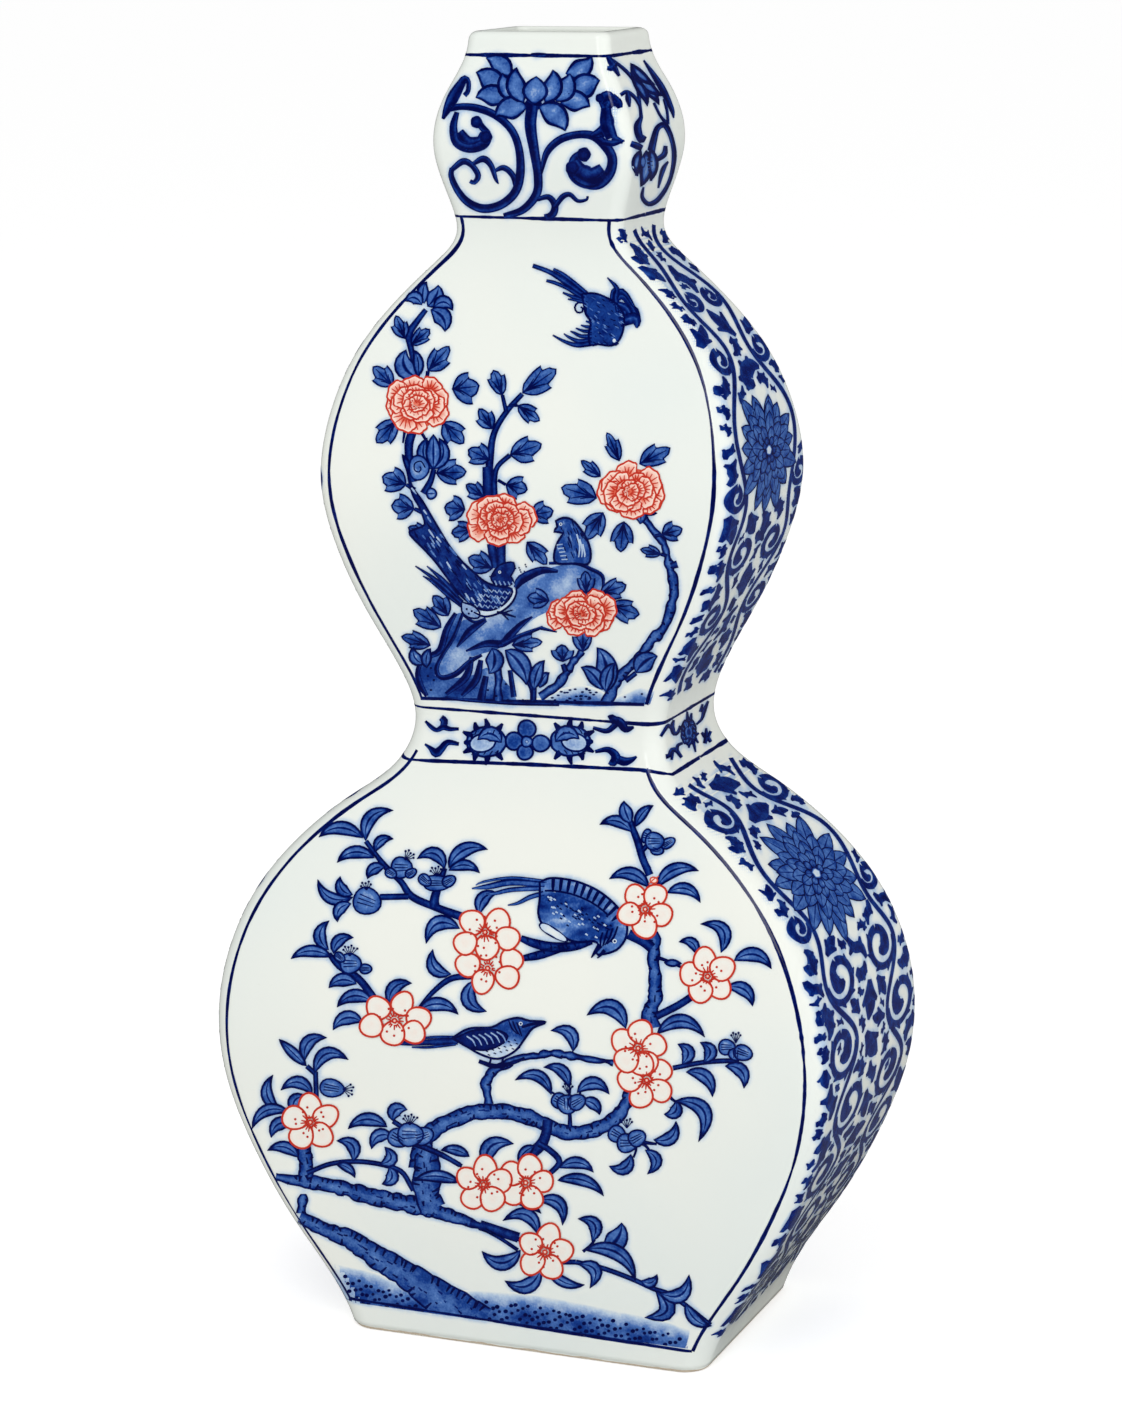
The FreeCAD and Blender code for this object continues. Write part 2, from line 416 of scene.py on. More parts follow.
# Leaf, petal and branch strokes: (share, inset in pixels, tone)
plain_columns = ((-1, 0, 1), (1, 0, 1))
leaf_columns = ((-1, 0, 1), (-1, 1.9, 0.96), (-1, 2.7, 0.56), (-0.3, 2.7, 0.44), (-0.1, 2.7, 0.92),
                (0.1, 2.7, 0.92), (0.3, 2.7, 0.5), (1, 2.7, 0.6), (1, 1.9, 0.96), (1, 0, 1))
twig_columns = ((-1, 0, 1), (-1, 1.4, 0.96), (-0.3, 1.4, 0.8), (0.3, 1.4, 0.74), (1, 1.4, 0.96), (1, 0, 1))
twig_weight = 1.3
leaf_weight = 1.6
bark_columns = ((-1, 0, 1), (-1, 1.6, 0.95), (-1, 2.4, 0.66), (-0.5, 2.4, 0.55), (0, 2.4, 0.5),
                (0.5, 2.4, 0.6), (1, 2.4, 0.7), (1, 1.6, 0.95), (1, 0, 1))


def leaf(ink, root_x, root_y, tip_x, tip_y, bend, width, rise=4, columns=leaf_columns):
    """A pointed leaf; a bend above 0 bulges to the left on the way from root to tip."""
    root, chord = np.array([root_x, root_y]), np.array([tip_x - root_x, tip_y - root_y])
    left = np.array([chord[1], -chord[0]])
    t = np.linspace(0, 1, max(9, int(np.hypot(*chord) / 3.2)))[:, None]
    hook = -0.05 * np.sign(bend) * t ** 7
    middle = root + chord * t + left * (bend * 4 * t * (1 - t) + hook)
    wide = width * leaf_weight * np.sin(pi * t ** 0.9) ** 0.8 + 0.5
    ribbon(ink, np.hstack([middle, wide]), columns, rise)


def twig(ink, waypoints, rise):
    ribbon(ink, smooth_path(waypoints) * (1, 1, twig_weight), twig_columns, rise)


def bark(ink, waypoints, rise, seed):
    """A knobbly branch with a dark edge, a pale wash and short marks across it."""
    rng = np.random.default_rng(seed)
    path = smooth_path(waypoints, 3.0)
    path[:, 2] += np.convolve(rng.normal(0, 1.9, len(path) + 2), (0.25, 0.5, 0.25), "valid")
    path[:, :2] += np.stack([np.convolve(rng.normal(0, 0.6, len(path) + 2), (0.25, 0.5, 0.25), "valid")
                             for _ in range(2)], 1)
    ribbon(ink, path, bark_columns, rise)
    for i in range(2, len(path) - 2, 2):
        x, y, width = path[i]
        along = path[i + 1, :2] - path[i - 1, :2]
        along /= np.linalg.norm(along)
        across = np.array([along[1], -along[0]])
        if width > 9:
            side = rng.choice((-1, 1, 1))
            start = np.array([x, y]) + across * side * (width / 2 - 0.6)
            end = start - across * side * min(width * rng.uniform(0.16, 0.42), 8) + along * rng.uniform(-1, 3)
            line(ink, ((*start, 3.4), (*end, 1.4)), rise + 1)
        if width > 15:
            start = np.array([x, y]) + across * width * rng.uniform(-0.3, 0.3)
            end = start + along * rng.uniform(2, 7)
            line(ink, ((*start, 1.2), (*end, rng.uniform(1.4, 2.4))), rise + 1, tone=rng.uniform(0.75, 1.0))


petal_rings = ((1, 0, 1), (1, 1.7, 0.95), (1, 2.4, 0.08), (0.55, 0, 0.04), (0.2, 0, 0.06))
petal_spread = 1.1
petal_reach = 15
petal_width = 24.0
blossom_stamens = 15
stamen_dot = 2.6


def blossom(ink, x, y, petals, seed):
    """A flower of the plum kind: round petals, a dense heart and fine stamens with dots."""
    rng = np.random.default_rng(seed)
    if not petals:
        turns = np.arange(5) * 2 * pi / 5 + rng.uniform(0, 6.28)
        petals = [(x + petal_reach * cos(t), y + petal_reach * sin(t)) for t in turns]
    for i, (petal_x, petal_y) in enumerate(petals):
        turn = atan2(petal_y - y, petal_x - x)
        petal_x, petal_y = x + petal_spread * (petal_x - x), y + petal_spread * (petal_y - y)
        oval(ink, petal_x, petal_y, petal_width * rng.uniform(1.02, 1.16), petal_width * rng.uniform(0.97, 1.12),
             petal_rings, i, 22, turn, 0.04, 3, rng.uniform(0, 6))
    oval(ink, x, y, 6, 6, ((1, 0, 0.95), (1, 1.8, 1.0), (0.4, 0, 0.2)), 9, 12, 0, 0.12, 5)
    for i in range(blossom_stamens):
        out = heading((i + rng.uniform(-0.25, 0.25)) / blossom_stamens * 2 * pi)
        line(ink, ((*(out * 4 + (x, y)), 1.9), (*(out * rng.uniform(7, 10.5) + (x, y)), 1.1)), 8)
        if i % 3:
            dot(ink, *(out * rng.uniform(11.5, 16) + (x, y)), stamen_dot, stamen_dot, 9, 7)


def stamens(ink, x, y, turn, fan, count, reach, rise):
    """A fan of fine lines with a dot at the end of each."""
    for i in range(count):
        out = heading(radians(turn + fan * (i / max(1, count - 1) - 0.5)))
        end = np.array([x, y]) + out * (reach + (i % 2) * 1.6)
        line(ink, ((x, y, 1.0), (*end, 0.8)), rise)
        dot(ink, *end, stamen_dot, stamen_dot, rise, 7)


bud_weight = 1.15
eye_rings = ((1, 0, 0.1), (0.6, 0, 0.1), (0.5, 0, 1))
bud_rings = ((1, 0, 1), (1, 1.4, 0.95), (1, 2.2, 0.55), (0.45, 0, 0.38), (0.1, 0, 0.5))


def bud(ink, x, y, wide, high, turn=0.0, rise=7, streaks=3):
    """A closed flower or fruit with dark lines along it."""
    wide, high = wide * bud_weight, high * bud_weight
    oval(ink, x, y, wide, high, bud_rings, rise, 18, radians(turn), 0.04, 3)
    along = heading(radians(turn))
    across = np.array([-along[1], along[0]])
    for i in range(streaks):
        side = (i + 1) / (streaks + 1) * 2 - 1
        start = np.array([x, y]) - along * wide * 0.3 + across * high * 0.3 * side
        end = np.array([x, y]) + along * wide * 0.28 + across * high * 0.22 * side
        line(ink, ((*start, 1.4), (*end, 0.8)), rise + 1, tone=0.9)


# The lower front panel, in pixels of the photograph. Leaves: root, tip, bend, width
lower_leaves = (
    (366, 841, 392, 809, 0.27, 9), (363, 838, 319, 835, -0.2, 9), (375.5, 852, 393, 838, 0.25, 7),
    (374.6, 858, 337, 860.7, -0.2, 8.5), (385, 867, 367, 878, -0.2, 8), (445, 869, 417.5, 857.5, -0.35, 9),
    (448.8, 868, 487, 847.5, 0.2, 9.5), (448.8, 870.5, 480, 871.5, 0.2, 7.5), (353, 897, 317, 881, 0.25, 8),
    (353, 894.6, 339.5, 876.8, 0.25, 8), (351.4, 903.6, 336.8, 921.4, -0.25, 8), (480, 914, 497, 892, 0.25, 9),
    (460, 928.6, 425.5, 942, -0.35, 10), (451.4, 974, 431.8, 950, 0.3, 9), (417.5, 1011.6, 458.6, 1012.5, 0.2, 9),
    (474.6, 980, 485.4, 1012, -0.35, 10), (389, 1003.6, 411, 982, 0.25, 9), (329, 950, 328, 920.5, 0.3, 8.5),
    (333.6, 953.6, 353, 936.6, 0.25, 8), (331.8, 957, 291, 956.8, -0.15, 8), (356.8, 984, 328.6, 986.6, -0.2, 9),
    (372.9, 1001.8, 336.8, 1005.4, -0.22, 9), (363, 1022, 332.7, 1028.6, -0.25, 9.5),
    (306.8, 1066, 279, 1039, 0, 7), (305, 1060.7, 326, 1036.6, 0.3, 9), (314.8, 1073, 347.9, 1058, 0.35, 9),
    (631, 823, 623, 801, 0.05, 9), (635.7, 826.8, 652.7, 804.5, 0.1, 7), (632, 832, 600, 823, -0.2, 8),
    (649, 887.5, 609.8, 877, -0.22, 9), (657, 887.5, 698, 868.8, 0.2, 9), (667, 893, 701, 901, 0.25, 8),
    (721, 952.7, 701.8, 923, -0.4, 9), (697, 955, 679.5, 941, -0.3, 7), (734, 960.7, 772, 967, 0.25, 9.5),
    (726.8, 987.5, 753.6, 1005, 0.25, 9), (664, 962.5, 682, 963.4, 0, 5), (626, 1028.6, 587.5, 1013.4, -0.35, 11),
    (657, 1034, 705, 1034.8, 0.28, 9.5), (573, 1051.8, 551.8, 1029.5, -0.35, 9), (569, 1087.5, 544.6, 1066, -0.25, 8),
    (682, 1064, 678.6, 1043.7, -0.4, 9), (703.6, 1062.5, 701, 1042, -0.4, 9), (725, 1066, 745, 1087.5, 0.3, 9),
    (686, 1072, 713.7, 1095.7, 0.25, 9), (280, 1109.8, 271.6, 1075, 0.25, 8), (312.7, 1094.4, 281, 1088.7, -0.3, 8.5),
    (293.6, 1111.7, 306, 1096, 0.3, 8.5), (289.8, 1112.6, 251.5, 1127, -0.25, 8), (293.6, 1125, 270.6, 1136.6, -0.3, 9),
    (299, 1157.6, 267.8, 1149, -0.2, 8), (353, 1161.4, 337.6, 1140, -0.35, 9), (379.7, 1164, 385.5, 1147, -0.5, 9),
    (389, 1167, 382.6, 1184.4, 0.35, 9), (335.7, 1164, 355.8, 1177, 0.15, 6), (387.4, 1127, 348, 1127, -0.2, 9),
    (393, 1121, 407, 1109, 0.35, 10), (393, 1136.6, 371, 1148, -0.3, 9), (469.7, 1156.6, 441, 1149, -0.1, 7),
    (486.9, 1169, 512.7, 1142.5, 0.35, 11), (460, 1182.5, 414, 1178.7, -0.1, 8), (520.8, 1249.8, 482, 1252.9, 0.3, 10),
    (551.4, 1094.7, 515.7, 1078.4, -0.3, 8), (577, 1092.7, 609.6, 1092.7, 0.3, 9), (582, 1100.8, 600.4, 1114, 0.2, 8),
    (653.5, 1139.6, 677, 1122, -0.3, 9), (631, 1153.9, 609.6, 1167, 0.35, 9), (645, 1149.8, 648.4, 1174, 0.4, 8),
    (674.9, 1100.8, 700.4, 1140.6, 0.4, 10), (676, 1100.8, 664.7, 1114.7, 0.35, 9),
    (535, 1145.7, 517.8, 1162, -0.1, 7), (559.6, 1168, 593.9, 1170.6, 0.2, 8), (557.6, 1180.4, 604.5, 1193.7, 0.15, 8),
    (537, 1200.8, 563.7, 1224, 0.35, 9), (512.7, 1199.8, 542, 1212, 0.05, 5), (539, 1235.5, 503.5, 1219, -0.35, 9),
    (592, 1241.6, 579, 1218, -0.4, 9), (602.4, 1249.8, 623, 1223.5, -0.15, 14), (541, 1268, 505.5, 1282.4, 0.3, 10),
    (547, 1268, 584, 1286.5, -0.12, 7), (578, 1264, 591, 1287.6, 0.45, 9), (584, 1249.8, 637, 1278.4, 0.22, 10),
    (641, 1280.4, 657.6, 1275, -0.3, 7), (659.6, 1292.7, 690, 1276, -0.35, 10), (655.5, 1290.6, 646, 1318, 0.6, 11),
    (686, 1302.9, 710.6, 1327, -0.15, 8),
)

# Twigs: waypoints with the width of the twig
lower_twigs = (
    ((470, 1223, 6), (498, 1231, 4.4), (526, 1242, 3.4)), ((484, 1229, 3.4), (500, 1238, 3), (518, 1250, 3)),
    ((414, 1143, 5), (438, 1153, 4.5), (462, 1166, 3)), ((548, 1120, 8), (546, 1134, 8), (540, 1146, 9),
     (521, 1161, 9)),
    ((366, 841, 4), (376.4, 855, 4), (387, 868, 5), (401.4, 882, 5), (412, 896.4, 6), (435.4, 907, 6),
     (465.7, 918, 7)),
    ((380, 897, 5), (408.6, 896.4, 5)), ((435, 907, 8), (435, 897, 7), (445, 868, 4)),
    ((416, 1012.5, 3), (432, 993, 4), (451, 978.6, 5), (473, 976, 5)),
    ((329, 953.6, 4), (339, 966, 5), (358.6, 978.6, 6), (377, 1002, 6)),
    ((639, 846, 5), (643, 859, 5), (648, 869.6, 6)), ((628.6, 934, 8), (643, 941, 8), (652, 948, 8)),
    ((657, 1016, 6), (678.6, 1005, 6), (696, 993.7, 6)),
    ((673, 1068, 4), (701.8, 1062.5, 4), (728.6, 1060.7, 4), (739, 1062.5, 3)),
    ((307, 1173, 4), (330, 1164, 4), (354.8, 1161.4, 4), (379.7, 1164, 4), (400.8, 1171, 4), (410, 1184.4, 4),
     (413, 1191, 3)),
    ((441, 1153.8, 4), (460, 1165, 4)), ((480, 1225, 8), (518.8, 1237.6, 8)),
    ((545, 1133.5, 5), (539, 1143.7, 5), (520.8, 1162, 4)),
    ((539, 1143.7, 5), (549.4, 1149.8, 5), (559.6, 1162, 5), (547, 1176, 4)),
    ((315.6, 1071.5, 4), (316.6, 1101, 4)), ((306.8, 1066, 4), (314.8, 1073, 4)),
    ((576, 1262, 4), (602.4, 1268, 4), (631, 1278.4, 4), (653.5, 1288.6, 4), (673.9, 1296.7, 4), (710.6, 1325, 4)),
    ((626, 806, 3), (632, 826, 5), (638, 842, 6), (643, 859, 6), (650, 875, 6)), ((643, 850, 4), (650, 842, 4)),
    ((654, 884, 5), (655, 898, 6), (652, 915, 7)), ((560, 1262, 4), (576, 1262, 4)),
    ((398, 1010, 4), (384, 1003, 5), (377, 1002, 5)), ((393, 1121, 4), (404, 1128, 4)),
    ((634, 1140, 3), (646, 1142.5, 3), (657, 1144, 2)), ((640, 1142, 3), (646, 1146, 2.4), (650, 1151, 1.8)),
    ((636, 1144, 2.6), (636, 1151, 2), (633.4, 1157.5, 1.8)), ((569, 1106, 3), (570, 1116, 3), (570, 1127, 4)),
    ((562, 1100, 2.4), (556, 1095, 2), (551, 1091.5, 1.6)), ((569, 1096, 2.4), (570, 1091, 2), (570.6, 1087, 1.6)),
    ((576, 1098, 2.4), (580, 1094, 2), (580.5, 1091, 1.6)), ((656, 957, 3), (668, 961, 2.6), (684, 968.4, 2)),
    ((595, 1239.5, 2), (590, 1246, 2.4), (583, 1251.5, 2.6)), ((678, 1103, 2), (672, 1099, 2.4), (668, 1093, 2.6)),
)

# Barked branches: waypoints with the width of the branch
lower_branches = (
    ((652, 934, 12), (655, 943, 13), (653.6, 960.7, 13), (655, 978.6, 14), (655, 996, 15), (650, 1014, 17),
     (652, 1028, 18)),
    ((420, 1168, 22), (421, 1150, 19), (431.4, 1132.7, 16), (450.5, 1121, 16), (479, 1111.7, 16), (504.5, 1112, 16),
     (522.9, 1115.6, 16), (543, 1123, 15), (561.6, 1131.4, 15), (580, 1132.7, 15), (600, 1127.6, 15),
     (616.7, 1117.3, 14), (626.9, 1102, 13), (630, 1088, 12)),
    ((427, 1150, 24), (427, 1175, 27), (427, 1195, 27), (432, 1208, 27)),
    ((489, 1104, 10), (486, 1084.5, 10), (492, 1072, 10), (510.6, 1062, 9)),
    ((276.4, 1177, 8), (310.8, 1182.5, 14), (335.7, 1186, 15), (364.4, 1195, 17), (393, 1200.7, 18),
     (421.8, 1208, 18), (450.5, 1216, 14), (482, 1227, 8)),
    ((306, 1136.6, 12), (305, 1152, 13), (306, 1167, 14), (305, 1182.5, 14)),
    ((303, 1194, 9), (302, 1213, 9)),
    ((300, 1217, 12), (324, 1229, 16), (348.4, 1238.6, 20), (379, 1257.8, 24), (413.5, 1279.4, 28),
     (443, 1301, 38), (460, 1316, 48), (476, 1331, 58)),
    ((500, 1068, 6), (514, 1059, 7), (541, 1055.4, 7), (559, 1053.6, 8), (585.7, 1059, 7), (614, 1063, 6)),
)

# Red blossoms: centre, then the centres of the petals where the photograph shows them clearly
lower_blossoms = (
    (488, 968, ((470, 965), (509.5, 960.7), (506, 976), (483.6, 980))),
    (485.4, 932, ((473.8, 923), (497, 922), (505.9, 937.5), (487, 946), (467.5, 942))),
    (395, 1020.5, ((380, 1009), (402, 1005), (416.6, 1018.8), (412, 1031), (393.4, 1032), (373.8, 1025))),
    (645.5, 909, ()), (708, 976, ()), (638.4, 1048, ()), (647, 1080, ()), (310.8, 1122, ()),
    (526, 1182.4, ()), (484, 1184.4, ()), (545.3, 1251.8, ()),
)

# Blue buds: centre, width, height, turn
lower_buds = (
    (401.5, 867.5, 20, 20, 0), (391, 873, 12, 10, 30), (411, 873, 12, 9, -30), (437, 883, 26, 15, 0),
    (425, 880, 14, 11, 40), (449, 881, 14, 11, -30), (367, 901, 26, 25, 20), (365.7, 968.8, 12, 10, 0),
    (339.8, 957, 12, 9, 40), (350.5, 963.4, 20, 19, 0), (647, 836, 10, 14, 20), (668, 843, 15, 10, -30),
    (657, 850, 13, 10, 10), (654.5, 841, 18, 17, 0), (726.8, 1047, 16, 15, 0), (743, 1052.7, 18, 15, 20),
    (735.7, 1054, 12, 14, 90), (331.9, 1088, 23, 17, 10), (398, 1138, 20, 17, 30), (423, 1136, 20, 17, -20),
    (410.3, 1134.6, 24, 22, 0), (560, 1101, 17, 15, 30), (577, 1102, 17, 15, -30), (567.8, 1104, 18, 20, 90),
    (617, 1134, 17, 16, 30), (637, 1138, 17, 16, -30), (626.9, 1143, 19, 18, 0),
)
lower_stamens = (
    (405, 860, -50, 70, 5, 9), (350, 956, -90, 90, 6, 9), (736, 1043, -90, 60, 5, 9), (343, 1089, 10, 80, 5, 9),
    (367, 890, -100, 90, 5, 7), (437, 876, -90, 100, 6, 8), (410, 1125, -90, 90, 6, 9), (568, 1093, -90, 70, 5, 8),
    (627, 1128, -90, 80, 5, 8),
)

# The large bird: the feathers of its tail, and the twigs that it stands on
large_bird_tail = (
    ((545, 884, 6), (512, 882, 7), (490, 886, 6), (472, 888.4, 1.4)),
    ((547, 881, 3), (512, 877.5, 3), (484, 881.5, 2.6), (476, 885, 1)),
    ((541, 888, 5), (512, 889.5, 5), (496, 893, 4), (486, 894, 1.4)),
    ((544, 893, 5), (530, 897, 5), (518, 903, 3.6), (508, 905, 1.4)),
)
large_tail_columns = ((-1, 0, 1), (-0.5, 0, 0.9), (-0.2, 0, 0.55), (0.5, 0, 0.6), (1, 0, 1))
perches = (((521, 938, 5), (534, 943, 7), (553, 947, 8), (575, 946, 7), (592, 941, 5)),
           ((524, 958, 5), (539, 955, 7), (556, 950, 6), (570, 945, 5)))


def large_bird(ink):
    """The long-tailed bird in the middle of the lower panel, looking down to the left."""
    back = smooth_path(((540, 882), (550, 878), (566, 879), (582, 883), (599, 891), (614, 903), (624, 916),
                        (627.5, 928), (625, 940), (617, 949.5), (606, 953.5), (598, 954.5)))
    belly = smooth_path(((598, 954.5), (595.5, 950), (598.5, 944.5), (594, 941), (582, 942), (570, 940), (556, 931),
                         (543, 924), (538.5, 913), (540, 898), (540, 882)))
    rim = np.vstack([back[:-1], belly[:-1]])
    rng = np.random.default_rng(5)

    def shade(points):
        below = np.hypot(*(points[:, None] - back[None]).transpose(2, 0, 1)).min(axis=1)
        tone = np.interp(below, (0, 12, 16, 30, 42), (0.42, 0.46, 0.78, 0.62, 0.34))
        return tone + 0.1 * np.sin(points[:, 0] * 0.9 + points[:, 1] * 0.5)

    pool(ink, rim, shade, 12)
    rim_line(ink, rim, 2.4, 14)
    strokes(ink, large_bird_tail, large_tail_columns, 13)
    for j in range(4, len(back) - 15, 2):
        along = back[j + 1] - back[j]
        across, down = np.array([-along[1], along[0]]) / np.hypot(*along) * 12
        x, y = back[j]
        line(ink, ((x, y, 3.4), (x + across * 0.6, y + down * 0.6 + 1, 3.4), (x + across, y + down + 2, 1.4)), 15)
    edge = back[3:-17:2] + (-5, 12.5)
    ribbon(ink, np.column_stack([edge, np.full(len(edge), 2.0)]), plain_columns, 15)
    for _ in range(70):
        t = rng.uniform(0, 1)
        x, y = 550 + 60 * t + rng.normal(0, 4), 900 + 34 * t + rng.normal(0, 6)
        line(ink, ((x, y, 1.8), (x + 2.4, y + 1.6, 1.2)), 15, tone=rng.choice((0.2, 1.0, 1.0)))
    oval(ink, 553, 932, 34, 10, ((1, 0, 1), (1, 1.6, 0.95), (1, 2.2, 0.1), (0.3, 0, 0.06)), 16, 18, 0.55, 0.05, 3)
    for i in range(4):
        line(ink, ((618 - i * 5, 926 + i * 2, 1.8), (614 - i * 4.4, 937 + i, 2.2), (607 - i * 2, 944 + i, 1.4)), 16)
    oval(ink, 615, 941, 4.4, 4.4, eye_rings, 17, 10)
    line(ink, ((601, 945, 5), (596, 951, 4), (591.5, 957.5, 1.2)), 17)
    line(ink, ((605, 950, 4), (600.5, 955, 3), (597.5, 958, 1)), 17)
    for perch in perches:
        twig(ink, perch, rise=10)
        start, middle, end = perch[0], perch[2], perch[-1]
        for t in (np.arange(6) + 0.5) / 6:
            x, y = start[0] + (end[0] - start[0]) * t, np.interp(t, (0, 0.5, 1), (start[1], middle[1], end[1]))
            line(ink, ((x, y - 2.4, 1.6), (x + 1.6, y + 2.4, 1.4)), 14)


# The small bird: the outlines of its body and wing, and the feathers of its tail
small_bird_body = ((452, 1038), (469, 1028.5), (492, 1027), (503.7, 1021), (518, 1017.6), (529.6, 1020.6),
                   (546, 1022), (533, 1028), (525.3, 1038), (515, 1051), (498, 1058.6), (480.6, 1054), (466, 1045.6))
small_bird_wing = ((455, 1038), (475, 1030), (497, 1030), (508, 1036), (500, 1045), (484, 1050), (466, 1046))
small_bird_tail = (((458, 1041, 7), (430, 1042, 6), (408, 1043, 5), (390.7, 1043, 2)),
                   ((456, 1044, 3), (430, 1047, 3), (412, 1047, 1.6)),
                   ((458, 1037, 3), (434, 1037, 3), (416, 1039, 1.4)))


def small_bird(ink):
    """The small bird on the left branch of the lower panel, looking right."""
    def shade(points):
        pale = np.clip((points[:, 1] - 1038 - (points[:, 0] - 490) * 0.02) / 7, 0, 1)
        return 0.66 - 0.54 * pale

    edged_pool(ink, small_bird_body, shade, 12, 2.4, 6.0)
    strokes(ink, small_bird_tail, ((-1, 0, 1), (0, 0, 0.7), (1, 0, 1)), 13)
    edged_pool(ink, small_bird_wing, 0.9, 15, 2.0)
    for i in range(6):
        x, y = 467 + i * 6, 1036 - i * 0.9
        line(ink, ((x, y, 1.3), (x + 6, y + 4, 1.6), (x + 9, y + 10, 1)), 18, tone=0.3)
    for i in range(18):
        x, y = 484 + (i % 6) * 6 + (i // 6) * 2, 1047 + (i // 6) * 3.6 - (i % 6) * 1.5
        line(ink, ((x, y, 1.4), (x + 2.5, y + 1, 1)), 15)
    for i in range(3):
        line(ink, ((509 + i * 4, 1020 + i, 1.4), (512 + i * 4, 1028 + i, 1.8), (518 + i * 2, 1034 + i, 1)), 16)
    line(ink, ((522, 1027, 2.6), (532, 1024, 3), (545, 1022.4, 2)), 16)
    oval(ink, 521, 1023.5, 4, 4, eye_rings, 17, 9)
    for x in (492, 504):
        line(ink, ((x, 1055, 2.2), (x - 2, 1063, 2)), 11)
    line(ink, ((479, 1061, 4), (495, 1066, 5), (512, 1063, 4), (525, 1058, 3)), 10)


def bank(ink, low, top, fading, grid):
    """A wash between two outlines; fading gives its tone at a place's depth below the top and its place across.
    It gives back the height of the top at places across."""
    across, height = np.array(top)[::-1].T

    def crest(x):
        return np.interp(x, across, height)

    pool(ink, np.vstack([smooth_path(low), smooth_path(top)]),
         lambda points: fading(points[:, 1] - crest(points[:, 0]), points[:, 0]), -3, grid)
    return crest


def lower_ground(ink):
    """The bank along the foot of the lower panel, with its dots."""
    low = ((330, 1296), (345, 1300), (393, 1312), (431.4, 1320), (480, 1329), (520, 1334), (582, 1344),
           (664, 1356), (688, 1358))
    top = ((690, 1329), (678, 1325), (664, 1320), (602, 1307), (541, 1295), (480, 1290), (440, 1290), (403, 1282),
           (374, 1272), (330, 1262))
    crest = bank(ink, low, top, lambda below, x: np.clip(below / 21, 0, 1) ** 0.8 * (0.6 + 0.08 * np.sin(x * 0.11)),
                 5.0)
    rng = np.random.default_rng(3)
    count = 190
    for i in range(count):
        x = 346 + 336 * (i + rng.uniform(-0.5, 0.5)) / count
        y = crest(x) + 12 + (i * 7 % 24) + rng.uniform(-2, 2)
        wide = rng.uniform(3.4, 5.0)
        dot(ink, x, y, wide, wide * 0.86, -1.5, 9, 0.95)


def paint_lower_front(blue, red):
    lower_ground(blue)
    for i, path in enumerate(lower_branches):
        bark(blue, path, rise=0, seed=20 + i)
    for path in lower_twigs:
        twig(blue, path, rise=3)
    for row in lower_leaves:
        leaf(blue, *row, rise=5)
    for row in lower_buds:
        bud(blue, *row)
    for row in lower_stamens:
        stamens(blue, *row, rise=9)
    large_bird(blue)
    small_bird(blue)
    for i, (x, y, petals) in enumerate(lower_blossoms):
        blossom(red, x, y, petals, seed=40 + i)
    oval(red, 654, 880, 8.5, 8.0, ((1, 0, 0.8), (1, 1.3, 0.7), (1, 1.7, 0.12), (0.3, 0, 0.1)), 0, 12, 0.2, 0.06, 2)
    line(red, ((649, 884, 1.1), (654, 879, 1.3), (659, 876, 0.9)), 1, tone=0.7)


# The middle front panel. Leaves with three points: root, tip, width
middle_leaves = (
    (405.3, 338.7, 396, 315, 18), (411, 345, 430.5, 329, 17), (428, 371, 450, 346, 22), (452, 389, 480, 386, 33),
    (443, 422, 464, 444, 22), (397.6, 419.8, 376, 443, 22), (393, 386, 373, 366, 22), (522.4, 393, 557, 369, 24),
    (502.5, 395.3, 493.5, 369.5, 19), (517.8, 405.3, 540, 421.3, 17), (492.5, 429, 479, 408, 18),
    (510, 455, 542.3, 444, 27), (490, 460, 468, 449, 25), (406.6, 484.6, 382, 476, 25), (414.6, 508.8, 391, 505, 25),
    (425.4, 532.9, 408, 527, 16), (436, 473, 467, 472, 27), (484, 497, 466, 484, 18), (465.5, 509.6, 444, 507, 27),
    (473.6, 529, 451, 533, 22), (493, 568.6, 468, 557, 25), (505.7, 484.6, 528, 490, 23), (530.7, 515, 554, 511, 25),
    (527, 541.8, 547, 565, 20), (549.5, 600.7, 527, 597, 21), (619.6, 461, 607, 432, 17), (639.5, 464, 671, 448, 23),
    (600.7, 476.6, 581, 460, 15), (597, 498, 561, 487, 25), (603.4, 512.3, 586, 540, 24),
    (624, 521.3, 620.4, 552.5, 25), (661.4, 534.6, 683, 529, 20), (661.4, 554.3, 640, 549, 14),
    (586.4, 593.6, 585.5, 570.4, 18),
    (599.8, 593.6, 627, 585, 23), (609.6, 605, 640, 615, 23), (448.6, 615.9, 433, 595, 20),
    (441.4, 627.5, 413, 609, 22), (430.7, 645.4, 401, 636, 18), (512, 645, 543, 642, 19),
    (563, 662, 562, 644, 22), (583, 652, 583, 630, 20),
)

